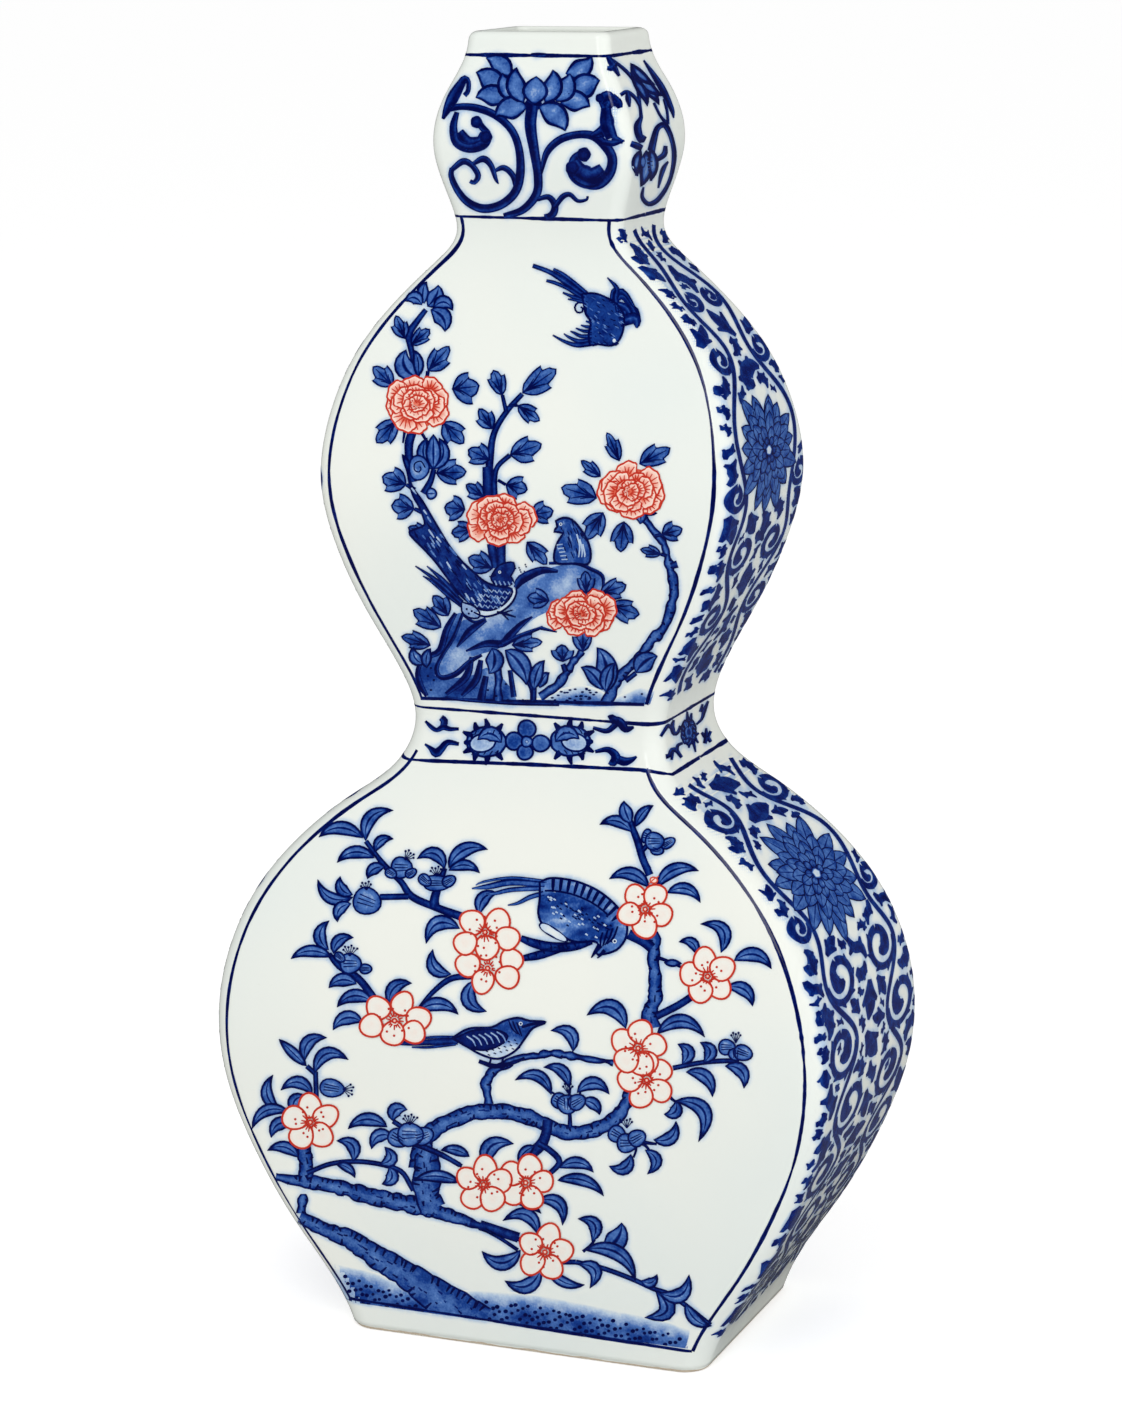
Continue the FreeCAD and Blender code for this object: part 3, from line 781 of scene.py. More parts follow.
# Pointed leaves: root, tip, bend, width
middle_blades = (
    (424.4, 303.5, 425.9, 281.3, 0.1, 8), (427.5, 306.5, 439.4, 285.4, -0.1, 11), (422, 305, 405.3, 300.4, -0.3, 9),
    (433.6, 308, 453.2, 309.6, 0.35, 9), (430.5, 309.6, 446.1, 331, 0.2, 12), (417.5, 377, 405, 350, 0.25, 13),
    (417.5, 377, 414, 349, -0.1, 7), (433.6, 469, 426, 438, 0.2, 9), (433.6, 469, 440.5, 438, -0.2, 9),
    (433.6, 469, 433.5, 434, 0, 10), (636.4, 506, 640.9, 524, 0.1, 9), (640, 505, 657, 514, -0.1, 5),
    (492, 648, 490, 674, 0.15, 12), (505, 650, 528, 684, 0.12, 13), (606, 692, 599, 647, -0.1, 14),
    (602.5, 690, 582, 666, -0.1, 10), (606, 692, 614, 662, 0.1, 9), (534.3, 690, 543.5, 659.6, 0.08, 9),
    (540, 688, 549, 672, 0.1, 7), (636, 673, 657, 655, 0.1, 13), (402, 454, 408.4, 475.7, 0.1, 4),
    (424, 664, 413, 647, 0.2, 8), (427, 668, 430, 648, 0.1, 7),
)
middle_twigs = (
    ((426, 309.6, 4), (416.7, 321.8, 5), (409, 334, 6), (410.6, 346.3, 5), (417.5, 377, 4)),
    ((428, 371, 3), (427, 378, 3)), ((412.9, 430.5, 7), (409, 444.3, 7), (409.8, 464, 6), (413, 482, 6)),
    ((405, 430, 2.6), (403, 443, 1.4)), ((420, 430, 2.6), (427, 441, 2.2), (433, 446, 2)),
    ((434, 469, 4), (430.7, 481, 5), (423.6, 493.6, 6)),
    ((489, 480, 6), (490, 459.6, 6), (494, 433.6, 5), (506.3, 412, 4.5), (522.4, 393.8, 4)),
    ((502.5, 395, 3), (506.3, 412, 3.5)), ((509, 405.5, 2.5), (517.8, 405.3, 2.5)),
    ((510, 455, 4), (498, 466, 4), (494.6, 478, 4.5), (494, 496, 6)), ((487, 466.8, 7), (488, 497, 8)),
    ((498, 480, 2.5), (505.7, 484.6, 2.5)), ((491.4, 543.6, 7), (495, 568, 7)), ((501.3, 540, 7), (501.3, 568, 7)),
    ((671, 566, 5), (677.5, 564, 6)), ((625.7, 681, 4), (636, 673, 4)), ((655, 536, 3), (661.4, 534.6, 3)),
    ((667, 556, 3), (661, 554, 3)), ((534, 700, 4), (534.3, 688, 4)), ((415, 490, 4), (406.6, 484.6, 3)),
    ((422, 512, 4), (414.6, 508.8, 3)), ((563, 664, 4), (566, 672, 5)),
)
middle_branches = (
    ((638.2, 506, 4), (647, 522, 6), (657.9, 536.4, 7), (665, 547, 8), (668.6, 563, 8), (672, 575.7, 10),
     (673.9, 588, 10), (671.3, 606, 10), (665, 625.7, 10), (650.7, 641.8, 11), (636.4, 659.6, 10),
     (618.6, 679.3, 10), (606, 704, 11)),
    ((583, 650.7, 8), (568.6, 668.6, 8), (557.9, 684.6, 9), (540, 697, 10)),
    ((498, 666, 9), (498, 701, 10)),
)

# Peonies: centre, half width, half height
middle_peonies = ((418, 403, 34.5, 29), (500.4, 519.5, 34, 25), (631, 491.8, 34, 28.5), (582, 613, 37, 22))

# Contours of the rocks: thick strokes with their width
rock_strokes = (
    ((455.7, 613, 4), (446.8, 629.3, 7), (439.6, 650.7, 7), (425, 658, 5), (418, 670, 5), (420, 684, 7),
     (427, 696, 4)),
    ((462.9, 613, 3), (454, 636.4, 4), (442, 656, 4), (436.5, 669, 5), (441.4, 677.5, 5), (455.7, 674, 6),
     (470, 661.4, 5), (482, 655, 3)),
    ((486, 620, 4), (470, 631, 8), (457, 647, 2)),
    ((532.5, 616.8, 2), (521.8, 624, 6), (509.3, 636.4, 8), (502, 643.6, 8), (486, 643.6, 7), (466, 651, 2)),
    ((503, 645, 5), (520, 636, 5), (543, 627, 3)), ((541, 628, 4), (557, 632, 1.5)),
    ((516, 588, 5), (521.8, 579.3, 10), (541.4, 570.4, 8), (558, 571.3, 3)),
    ((549, 563.2, 3), (575.7, 563.2, 4), (590, 568.6, 4), (602.5, 576, 4), (603, 590, 2)),
    ((472, 657, 5), (466, 677, 8), (446, 694, 4)), ((481, 660, 5), (476, 680, 8), (462, 696, 4)),
    ((486, 676, 6), (481, 700, 9)), ((510, 670, 5), (514, 697, 6)), ((520, 672, 3), (531, 688, 4), (532, 701, 4)),
    ((445, 697.5, 3), (477, 701.6, 3.4), (512.9, 703.6, 3.4), (559.3, 704.6, 3.2)),
    ((462, 613, 4), (474, 622, 3), (486, 619, 4)),
)
rock_washes = (
    (0.42, ((519, 584), (541, 572), (557, 566), (576, 564), (590, 569), (602, 577), (600, 590), (585, 602),
            (560, 608), (545, 613), (530, 622), (512, 641), (495, 650), (470, 658), (455, 673), (441, 677),
            (437, 669), (444, 655), (455, 637), (463, 620), (474, 622), (486, 619), (498, 614), (511, 603),
            (517, 590))),
    (0.54, ((456, 614), (447, 629), (440, 651), (425, 659), (419, 670), (421, 684), (428, 697), (445, 699),
            (477, 703), (513, 705), (512, 690), (490, 668), (470, 676), (441, 678), (436, 670), (454, 636),
            (463, 614))),
)


def lobed_leaf(ink, root_x, root_y, tip_x, tip_y, width, rise=5, seed=1):
    """A leaf with three points, darker along its edge and veins."""
    rng = np.random.default_rng(seed)
    root, chord = np.array([root_x, root_y]), np.array([tip_x - root_x, tip_y - root_y])
    left = np.array([chord[1], -chord[0]]) / np.hypot(*chord) * width / 2
    rim = []
    for side in (1, -1):
        reach, ahead = rng.uniform(0.9, 1.08), rng.uniform(-0.05, 0.07)
        half = [root + chord * (along + ahead * (0.2 < along < 0.9)) + left * side * out * reach
                for along, out in leaf_edge]
        rim += half if side == 1 else half[-2:0:-1]
    blob(ink, rim, root + chord * 0.5, leaf_rings, rise)
    for out, along, start in ((0, 0.86, 0), (0.62, 0.66, 0.18), (-0.62, 0.66, 0.18), (0.45, 0.42, 0.08),
                              (-0.45, 0.42, 0.08)):
        begin, end = root + chord * start, root + chord * along + left * out
        line(ink, ((*begin, 1.9), (*((begin + end) / 2 + chord * 0.03), 1.5), (*end, 0.8)), rise + 1, tone=0.95)


leaf_edge = ((0, 0), (0.05, 0.26), (0.14, 0.58), (0.28, 0.84), (0.42, 0.97), (0.56, 1.02), (0.68, 1.02),
             (0.655, 0.82), (0.66, 0.62), (0.73, 0.56), (0.83, 0.47), (0.92, 0.3), (1, 0.04))
leaf_rings = ((1, 0, 1), (1, 1.4, 0.95), (1, 2.2, 0.56), (0.6, 0, 0.5), (0.3, 0, 0.66), (0.1, 0, 0.72))
peony_rings = ((1, 0, 1), (1, 1.5, 0.95), (1, 2.2, 0.1), (0.8, 0, 0.16), (0.55, 0, 0.34), (0.3, 0, 0.6))

# Rings of petals of a full flower: how many, how far out, and their size, as shares of the flower's
peony_shares = ((8, 0.68, 0.42), (7, 0.46, 0.36), (5, 0.25, 0.32), (3, 0.08, 0.26))


def peony(ink, x, y, wide, high, seed):
    """A full flower: uneven rings of scalloped petals with pale rims and fine lines over a red heart."""
    rng = np.random.default_rng(seed)
    pool(ink, around(x, y, wide * 1.6, high * 1.6, 26, 0, 0.05, 5), 0.7, 0)
    for ring, (count, place, size) in enumerate(peony_shares):
        first = rng.uniform(0, 6.3)
        for i in range(count):
            rise = 1 + ring * 4 + (i % 3) * 1.3
            turn = first + (i + rng.uniform(-0.3, 0.3)) / count * 2 * pi
            out = heading(turn)
            centre = np.array([x, y]) + out * (wide * 1.1, high) * place * rng.uniform(0.88, 1.1)
            petal = size * (wide + high) / 2 * rng.uniform(0.8, 1.16)
            rim = around(*centre, 1.45 * petal, 2.1 * petal, 26, turn + rng.normal(0, 0.22), 0.06, 7,
                         rng.uniform(0, 6))
            base = centre - out * petal * 0.5
            blob(ink, rim, base, peony_rings, rise)
            for fan in np.linspace(-0.8, 0.8, 5):
                way = heading(turn + fan) * petal
                begin, end = base + way * 0.35, base + way * rng.uniform(0.85, 1.05)
                line(ink, ((*begin, 1.8), (*end, 0.9)), rise + 0.6, tone=0.95)
    for _ in range(20):
        spot = np.array([x, y]) + rng.normal(0, 1, 2) * (wide * 0.16, high * 0.16)
        dot(ink, *spot, 1.7, 1.7, 20, 6)


feather_columns = ((-1, 0, 1), (-0.35, 0, 0.85), (0.1, 0, 0.66), (0.4, 0, 0.9), (1, 0, 1))


def edged_pool(ink, points, tone, rise, width=2.2, grid=5.0):
    """A filled shape with a dark line round it."""
    rim = closed_path(points)
    pool(ink, rim, tone, rise, grid)
    rim_line(ink, rim, width, rise + 2)
    return rim


def flecks(ink, rim, count, run, tones, rise, seed, width=1.0):
    """Short strokes scattered inside an outline, all about the same way."""
    rng = np.random.default_rng(seed)
    low, high = rim.min(axis=0), rim.max(axis=0)
    spots = low + rng.uniform(0, 1, (count * 4, 2)) * (high - low)
    ends = spots + np.array(run) * rng.uniform(0.6, 1.3, (len(spots), 1)) + rng.normal(0, 0.5, spots.shape)
    kept = inside(spots, rim) & inside(ends, rim)
    for start, end in list(zip(spots[kept], ends[kept]))[:count]:
        line(ink, ((*start, width * 0.7), (*((start + end) / 2), width), (*end, width * 0.4)), rise,
             tone=rng.choice(tones))


# The flying bird: the outline of its body, and the feathers of its tail and wings
flying_body = ((582, 294), (591, 293), (601, 295), (616, 303), (623.4, 313), (624.2, 325), (621, 337), (615, 344),
               (609, 345.6), (598, 344), (590.5, 345), (589, 333), (591, 322), (586, 314), (584, 304))
flying_feathers = (
    ((586, 296, 6), (566, 282, 6), (550, 272, 5), (533, 265.5, 4.4)),
    ((588, 294, 4), (575, 283, 4), (563, 274, 4), (553.5, 269, 3)),
    ((583, 298, 5), (569, 289, 4), (556, 283, 4), (546.5, 280.5, 3)), ((583, 300, 4), (574, 297, 4), (563, 292.5, 2)),
    ((584, 302, 3.4), (576, 300, 3), (568, 299, 1.6)), ((620, 322, 10), (634, 318, 12), (637, 322, 9), (637, 328, 2)),
    ((622, 314, 9), (633, 309, 9), (638.5, 318, 5), (639, 326, 2)),
    ((612, 304, 5), (621, 296, 7), (628, 300, 8), (637, 316, 5)),
    ((614, 304, 4), (619, 291, 6), (626, 294, 5), (634, 306, 3)),
    ((611, 302, 3), (613, 291, 4), (616, 287, 3), (607.5, 277.5, 1.4)),
    ((618, 312, 4), (616, 298, 5), (617, 288, 5), (608, 278, 1.4)), ((618, 304, 6), (626, 307, 7), (631, 315, 5)),
    ((592, 343, 6), (577, 345, 5), (564, 341, 3.4), (553, 335, 1.6)),
    ((592, 340, 5), (579, 341, 4.4), (569, 337, 3), (564, 333.5, 1.2)),
    ((592, 336, 4.4), (581, 336, 4), (575, 333, 3), (570.5, 331, 1.2)),
    ((592, 331, 4), (584, 331, 3.4), (576, 328, 1.4)), ((592, 327, 4), (586, 326.5, 3), (581, 325, 1.4)),
    ((592, 323, 3.4), (586, 321, 1.6)),
)


def flying_bird(ink):
    """The bird that flies over the middle panel with its tail up to the left."""
    rim = edged_pool(ink, flying_body, 0.74, 12)
    flecks(ink, rim, 60, (3.4, 2.2), (0.5, 0.4, 1.0, 1.0), 15, 4)
    strokes(ink, flying_feathers, feather_columns, 13)
    oval(ink, 614.5, 340.5, 4.4, 5, ((1, 0, 1), (1, 0.8, 0.1), (0.3, 0, 0.1)), 17, 10)
    line(ink, ((613, 344, 3), (616.5, 344.5, 2.2), (619, 343, 1)), 16)
    curl = [(580.5 + r * cos(t), 308 + r * sin(t), 2.0) for r, t in
            ((6.5, 0.6), (6.5, -0.6), (6, -1.9), (5.6, -3.0), (5.2, -4.1), (4.2, -5.2), (2.6, -6.2), (1.2, -7.6))]
    line(ink, [(586, 314, 2.0)] + curl, 14)


# The long-tailed bird: the outlines of its body and head, and the feathers of its wing
long_tailed_body = (
    (408, 476), (414, 489), (422, 500), (431, 515), (441, 532), (450.4, 547), (461, 560), (470, 568.6), (484.3, 581),
    (497, 586), (512, 589), (509, 599), (498, 608), (484, 610), (470, 603), (458, 592), (447, 577), (435, 561),
    (424, 549), (413, 538), (409.5, 532), (418, 528), (425, 524), (420, 508), (413, 495),
)
long_tailed_head = ((491, 577), (495, 570), (500, 565), (507, 562.5), (514, 562.5), (514.5, 570), (511, 576),
                    (514, 582), (506, 586), (494, 583))
long_tailed_wing = (((462, 603, 6), (448, 590, 6), (432, 577, 4), (415.5, 566, 1.4)),
                    ((458, 596, 5), (444, 581, 5), (434, 572, 3), (427, 566, 1.2)),
                    ((456, 600, 5), (441, 589, 4), (430, 580, 3), (423, 576, 1.2)),
                    ((462, 606, 4), (450, 597, 4), (440, 589, 2.6), (436, 584, 1.2)))


def long_tailed_bird(ink):
    """The speckled bird with a long tail that stands on the rock at the left of the middle panel."""
    rim = edged_pool(ink, long_tailed_body, 0.8, 8, grid=4.0)
    flecks(ink, rim, 46, (4.4, 6.4), (0.25, 0.4, 0.5), 11, 6, width=1.9)
    flecks(ink, rim, 60, (4.4, 6.4), (1.0,), 12, 7, width=1.2)
    for row in range(4):
        for i in range(5):
            x, y = 484 + i * 5.4 - row * 3, 589 + row * 5 + i * 0.6
            line(ink, ((x, y, 1.2), (x + 2.6, y + 2.6, 1.2), (x + 4.6, y, 1)), 13, tone=0.3)
    belly = smooth_path(((514, 588), (516.5, 594), (511, 604), (499, 613), (485, 616.5), (475, 613), (484, 610.5),
                         (498, 607), (508, 599), (512, 590)), 3.0)
    pool(ink, belly, 0.12, 9, grid=3.0)
    line(ink, ((516.4, 587, 2), (516.4, 594, 2), (511, 604, 2.2), (499, 613, 2.2), (485, 616.5, 2.2),
               (474, 612, 1.6)), 12)
    edged_pool(ink, ((462, 602), (474, 606), (480, 613), (478, 618), (468, 617), (462, 611)), 0.3, 9, 1.8, 4.0)
    for x, y in ((467, 609), (472, 611), (469, 613.5)):
        dot(ink, x, y, 2.4, 2.4, 12, 7)
    strokes(ink, long_tailed_wing, feather_columns, 7)
    edged_pool(ink, long_tailed_head, 0.82, 13, 1.8, 4.0)
    line(ink, ((496, 574, 3), (491, 577, 2), (489.5, 576, 0.8)), 15)
    oval(ink, 500, 572, 3, 3, ((1, 0, 0.1), (0.5, 0, 0.1), (0.4, 0, 1)), 16, 8)
    for i in range(5):
        line(ink, ((495 + i * 4.4, 580.5 + i * 0.3, 1.3), (497 + i * 4.4, 585, 1.3)), 16, tone=0.35)
    for i in range(9):
        x, y = 514 + (i * 5.3) % 15, 564 + (i * 3.7) % 9
        dot(ink, x, y, 1.8, 1.8, 12, 6, 0.9)
    for leg in (((497, 612, 2.6), (503, 613, 3), (508, 614.5, 2.4), (516, 617, 1.4)),
                ((504, 613, 2), (509, 611, 1.6), (513, 610, 1)), ((503, 614, 2), (507, 618, 1.6), (509, 620, 1))):
        line(ink, leg, 12)


perched_body = ((556, 521), (563, 517.7), (572, 519.5), (581, 529.3), (588.2, 541.8), (591, 554), (588, 564),
                (575, 563.4), (557, 563.2), (554.3, 554.3), (558, 541.8), (563, 533), (554.3, 531.5), (557.5, 526.5))


def perched_bird(ink):
    """The small round bird on the rock, looking left."""
    rim = edged_pool(ink, perched_body, 0.62, 12, 2.4)
    flecks(ink, rim, 26, (2.2, 6), (1.0, 1.0, 0.4), 15, 8, width=1.3)
    for i in range(5):
        line(ink, ((557 + i * 1.2, 545 + i * 3.6, 1.2), (563 + i * 1.2, 544 + i * 3.8, 1.0)), 16, tone=0.25)
    for i in range(3):
        line(ink, ((577 + i * 3, 534 + i * 5, 1.4), (580 + i * 2.6, 546 + i * 4, 1.6), (579 + i * 3, 557, 1)), 16,
             tone=0.2)
    oval(ink, 561, 524, 4, 4, ((1, 0, 1), (0.8, 0, 0.1), (0.5, 0, 0.1), (0.4, 0, 1)), 16, 9)


def middle_ground(ink):
    """Pale washes on the rocks and along the foot of the middle panel, with their dots."""
    for tone, points in rock_washes:
        def shade(spots, tone=tone):
            drift = np.sin(spots[:, 0] * 0.09 + 1) * np.sin(spots[:, 1] * 0.11 + spots[:, 0] * 0.05)
            return tone * (1 + 0.42 * drift)

        pool(ink, closed_path(points), shade, -3, grid=4.0)
    low = ((512, 704.5), (559, 705), (594, 706.5), (650, 704.5))
    top = ((655, 690), (640, 687), (622, 694), (612, 697), (600, 690), (582, 685), (560, 689), (545, 697), (512, 700))
    crest = bank(ink, low, top, lambda below, _: np.clip(below / 12, 0, 1) * 0.5, 4.0)
    rng = np.random.default_rng(9)
    for _ in range(40):
        x = rng.uniform(552, 600)
        dot(ink, x, min(crest(x) + rng.uniform(2, 17), 703), 3.4, 1.9, 3, 8, 0.9)
    for x, y in ((419, 664), (431, 668), (428, 676), (431, 690), (625, 697), (630, 703), (642, 694), (488, 690),
                 (506, 684), (508, 700), (555, 700), (548, 702), (434, 680), (523, 700), (544, 684)):
        dot(ink, x, y, 2.6, 2.2, 3, 8)


def paint_middle_front(blue, red):
    middle_ground(blue)
    for i, path in enumerate(middle_branches):
        bark(blue, path, rise=1, seed=60 + i)
    strokes(blue, rock_strokes, thick_columns, 2)
    for path in middle_twigs:
        twig(blue, path, rise=3)
    for i, row in enumerate(middle_leaves):
        lobed_leaf(blue, *row, rise=5, seed=i)
    for row in middle_blades:
        leaf(blue, *row, rise=5)
    spiral = [(419 + r * cos(t), 467.7 + 1.15 * r * sin(t), 1.4) for r, t in
              ((6.5, 0), (6, -1.2), (5.4, -2.4), (4.6, -3.6), (3.6, -4.8), (2.4, -6.0), (1.2, -7.2))]
    bud(blue, 419, 467.7, 19, 23, streaks=0)
    line(blue, spiral, 9, step=2.0)
    bud(blue, 431.6, 493.6, 10, 11, streaks=1)
    flying_bird(blue)
    long_tailed_bird(blue)
    perched_bird(blue)
    for i, row in enumerate(middle_peonies):
        peony(red, *row, seed=80 + i)


# The bulb under the mouth: lotus petals (foot, tip, bend, width) and scroll strokes
thick_columns = ((-1, 0, 0.8), (-0.75, 0, 0.99), (-0.1, 0, 1), (0.2, 0, 0.84), (0.55, 0, 0.74), (0.8, 0, 0.97),
                 (1, 0, 0.8))
lotus_petals = (
    (510.2, 76.6, 487, 56.8, -0.1, 13), (565.6, 73.4, 593, 57.5, -0.12, 13), (501.2, 92, 477, 71, -0.08, 15),
    (572.7, 95, 599.5, 79, 0.06, 16), (507.6, 101.4, 476, 96, -0.12, 14), (560.5, 103.3, 590.5, 105.3, 0.12, 14),
    (515.3, 100, 501.5, 73.5, 0.06, 12), (556, 101.4, 571.5, 74, -0.06, 14), (527.4, 107.5, 495, 114.5, -0.1, 15),
    (538.9, 106.5, 566.8, 129.8, 0.12, 15), (524, 102.5, 515.3, 67.5, 0.1, 13), (545, 102.4, 554.5, 70, -0.1, 13),
    (534.4, 104.3, 536.6, 76, 0, 16.5),
)
lotus_columns = ((-1, 0, 1), (-1, 2.8, 0.97), (-1, 3.6, 0.58), (-0.3, 3.6, 0.46), (0.3, 3.6, 0.42), (1, 3.6, 0.6),
                 (1, 2.8, 0.97), (1, 0, 1))
bulb_strokes = (
    ((526, 101, 5), (533, 105, 15), (541, 101, 5)),
    ((532.5, 105.3, 12), (530.6, 125.7, 12), (534.4, 151, 10), (538.2, 176.7, 9), (536.3, 194.5, 9),
     (522.9, 209.8, 8), (503.8, 216.2, 6)),
    ((449, 109, 6), (462, 106.5, 7), (478.3, 108.4, 8), (496, 115.5, 8), (511.4, 129.5, 8), (519, 148.6, 8),
     (520.4, 172.9, 9), (515.3, 192, 9), (501.2, 204.7, 9), (483.4, 208.6, 9), (468, 202.2, 8), (457.9, 190.7, 7),
     (451.5, 176.7, 6), (452, 168, 5)),
    ((443, 119, 3), (448, 108, 9), (454, 96, 12), (461, 84, 9), (465, 78.5, 7), (468.6, 82, 5), (468, 91, 5),
     (464.5, 95.5, 5)),
    ((457, 112, 5), (453.5, 127, 8), (456.6, 142.2, 9), (469.3, 148, 10), (483.4, 143.8, 11), (487.8, 135, 8),
     (482, 127, 7), (477, 121, 8), (476, 118.5, 6)),
    ((451.5, 170, 5), (463, 161.4, 7), (471.9, 165.2, 6), (478.3, 175.4, 6), (474.4, 182.4, 5), (470, 181, 4)),
    ((473, 164, 4), (483.4, 158.8, 7), (491, 165.2, 6), (496, 179.2, 4), (498.7, 184, 1)),
    ((494, 171.3, 3), (504, 167.8, 6), (513, 175.7, 6), (516.3, 188, 5)),
    ((541, 174, 3), (547, 152.4, 7), (560, 139.7, 8), (577.8, 134.6, 8), (593, 135.9, 9), (604.5, 144.8, 10),
     (612.2, 157.6, 10), (609.6, 172.9, 11), (598.2, 183, 13), (584, 180.8, 13), (573.7, 171.6, 11),
     (574.5, 160, 10), (580.5, 154, 8)),
    ((592, 136.5, 7), (603, 131, 12), (609, 122, 11), (606.5, 112, 8), (602.5, 100, 9), (599, 96, 5)),
    ((607, 110, 5), (612, 102, 9), (619, 105, 5)), ((603, 142.2, 7), (613, 143.5, 6), (624.5, 140.5, 2)),
    ((537, 199.6, 4), (548.4, 197, 6), (554.8, 204.7, 7), (553.5, 213.2, 8), (548, 216.8, 7), (546.4, 213.6, 5)),
    ((554.8, 207.3, 5), (562.4, 197, 6), (570, 194.5, 5), (577.8, 200.9, 4), (586.7, 199.6, 3), (587.6, 196, 2.4)),
    ((487, 57, 2), (485, 53, 3)), ((546, 54.5, 3), (538, 55, 5), (531, 54.6, 3)),
    ((573, 162, 14), (579, 173, 22), (592, 178, 22), (604, 170, 15)), ((459, 132, 10), (468, 143, 14), (481, 143, 15),
                                                                       (486, 134, 12)),
    ((600, 101, 10), (607, 96, 11), (613, 99, 8)), ((612, 96, 7), (618, 103, 9), (620, 108, 5)),
    ((606, 108, 10), (607, 124, 14), (612, 138, 12)), ((612, 138, 10), (623, 142, 4)),
)


def paint_bulb(blue):
    strokes(blue, bulb_strokes, thick_columns, 3, step=2.6)
    for i, row in enumerate(lotus_petals):
        leaf(blue, *row, rise=5 + i * 0.6, columns=lotus_columns)
    for x, y, size in ((584, 154.5, 14), (476.5, 122, 12), (572.5, 168, 14), (486, 137, 13), (600, 98, 9)):
        oval(blue, x, y, size, size * 1.05, ((1, 0, 0.85), (0.8, 0, 1), (0.3, 0, 0.9)), 4, 16, 0, 0.05)


# The waist collar: the flower between two shells, and the curls at the ends
collar_petals = ((527, 729, 20, 20), (514.5, 741, 20, 20), (541, 743.3, 20, 18.5), (525.2, 752, 18, 17.5))
collar_curls = (
    ((459, 728.8, 2), (450, 729, 3), (443.4, 727, 4), (437, 730, 3), (431.5, 727, 3), (425.5, 721, 1.6)),
    ((443, 727, 4), (444.5, 721, 5), (441, 717.4, 4)),
    ((459, 744, 2.4), (447.7, 742.4, 4), (441.2, 749, 5), (436, 753, 6), (430.4, 748, 3), (425, 744, 1.4)),
    ((593, 727.7, 2.2), (606, 731, 3.4), (613, 727, 4), (616.8, 722, 4), (612, 718, 5), (609, 719, 4)),
    ((612, 719.6, 5), (620, 722, 6), (626, 729, 5), (634, 727, 1.6)),
    ((595.1, 751.6, 2.2), (608, 749.6, 4), (616, 756, 6), (613, 762, 6), (609.5, 761, 4)),
    ((616, 758, 5), (624, 761.4, 6), (631, 760, 4), (636.8, 756.5, 1.4)),
)


def shell(ink, x, y, flip):
    """A flower seen from the side, with a swirl in it and flames round its edge; a flip of -1 mirrors it."""
    for i, angle in enumerate((-128, -92, -58, -26, 2, 28, 56, 92, 128)):
        turn = radians(angle)
        a, b = 19 * cos(turn), 15.5 * sin(turn)
        lean = 2.2 if i % 2 else -1.2
        line(ink, ((x + flip * a * 0.8, y + b * 0.8, 8), (x + flip * a * 1.08, y + b * 1.12, 6),
                   (x + flip * (a * 1.27 + lean), y + b * 1.5, 2.4)), 3)
    oval(ink, x, y, 42, 32, ((1, 0, 1), (1, 2.0, 0.95), (1, 2.8, 0.5), (0.6, 0, 0.5), (0.2, 0, 0.5)), 4,
         26, 0, 0.02, 7)
    oval(ink, x + flip * 4, y + 1, 28, 20, ((1, 0, 1), (1, 1.6, 0.95), (1, 2.3, 0.2), (0.3, 0, 0.3)), 6,
         20, 0.2 * flip)
    leaf(ink, x - flip * 15, y + 1, x + flip * 9, y - 3, 0.3 * flip, 10, rise=8)
    for i in range(5):
        line(ink, ((x - flip * (14 - i * 6), y - 11 - (i % 2), 1.4), (x - flip * (12 - i * 6), y - 7, 1)), 8)
        line(ink, ((x - flip * (12 - i * 6), y + 9, 1.2), (x - flip * (9 - i * 6), y + 13, 1)), 8)


def paint_collar(blue):
    shell(blue, 486.7, 741.8, -1)
    shell(blue, 570.5, 741, 1)
    for i, (x, y, wide, high) in enumerate(collar_petals):
        oval(blue, x, y, wide, high, ((1, 0, 1), (1, 1.8, 0.95), (1, 2.6, 0.52), (0.4, 0, 0.62), (0.1, 0, 0.66)),
             9 + i, 20, 0, 0.02, 3)
    bud(blue, 527, 741.5, 11, 11, rise=14, streaks=0)
    oval(blue, 527, 741.5, 3.4, 3.4, ((1, 0, 1), (0.6, 0, 0.3)), 16, 8)
    strokes(blue, collar_curls, thick_columns, 3, step=2.6, broader=1.55)


# Border lines on the glaze, in millimetres: (height, inset from the sharp corner) and (lowest, highest) of the
# upright lines, and the heights of the level lines
border_insets = ((0, 5.4), (240, 5.4), (300, 4.6), (372, 3.2))
upright_borders = ((9.6, 198), (216.9, 372))
level_borders = (195.6, 212.0, 372.0, 423.0)
waist_line = ((-49, 195.6), (-43, 194.9), (-36, 195), (0, 196.4), (38, 197.5), (42, 197.2), (50, 195.6))
panel_levels = (9.6, 216.9)
panel_leans = (-0.018, 0.047)
lowest_paint = (9.4, 215.0)
border_width = 1.12
border_columns = ((-1, 0, 0.72), (-0.5, 0, 0.98), (0.5, 0, 1), (1, 0, 0.74))


def border_line(ink, points, rng):
    """A brush line with slight swellings and knots."""
    path = np.asarray(points, float)
    count = len(path)
    swell = np.convolve(rng.normal(0, 0.22, count + 8), np.ones(9) / 9 * 2.2, "valid")
    wander = np.convolve(rng.normal(0, 0.5, count + 12), np.ones(13) / 13 * 1.6, "valid")
    path[:, 0] += wander * 0.25
    knots = (rng.uniform(0, 1, count) > 0.992) * rng.uniform(0.2, 0.5, count)
    ribbon(ink, np.column_stack([path, border_width * (1 + swell + knots)]), border_columns, 1)


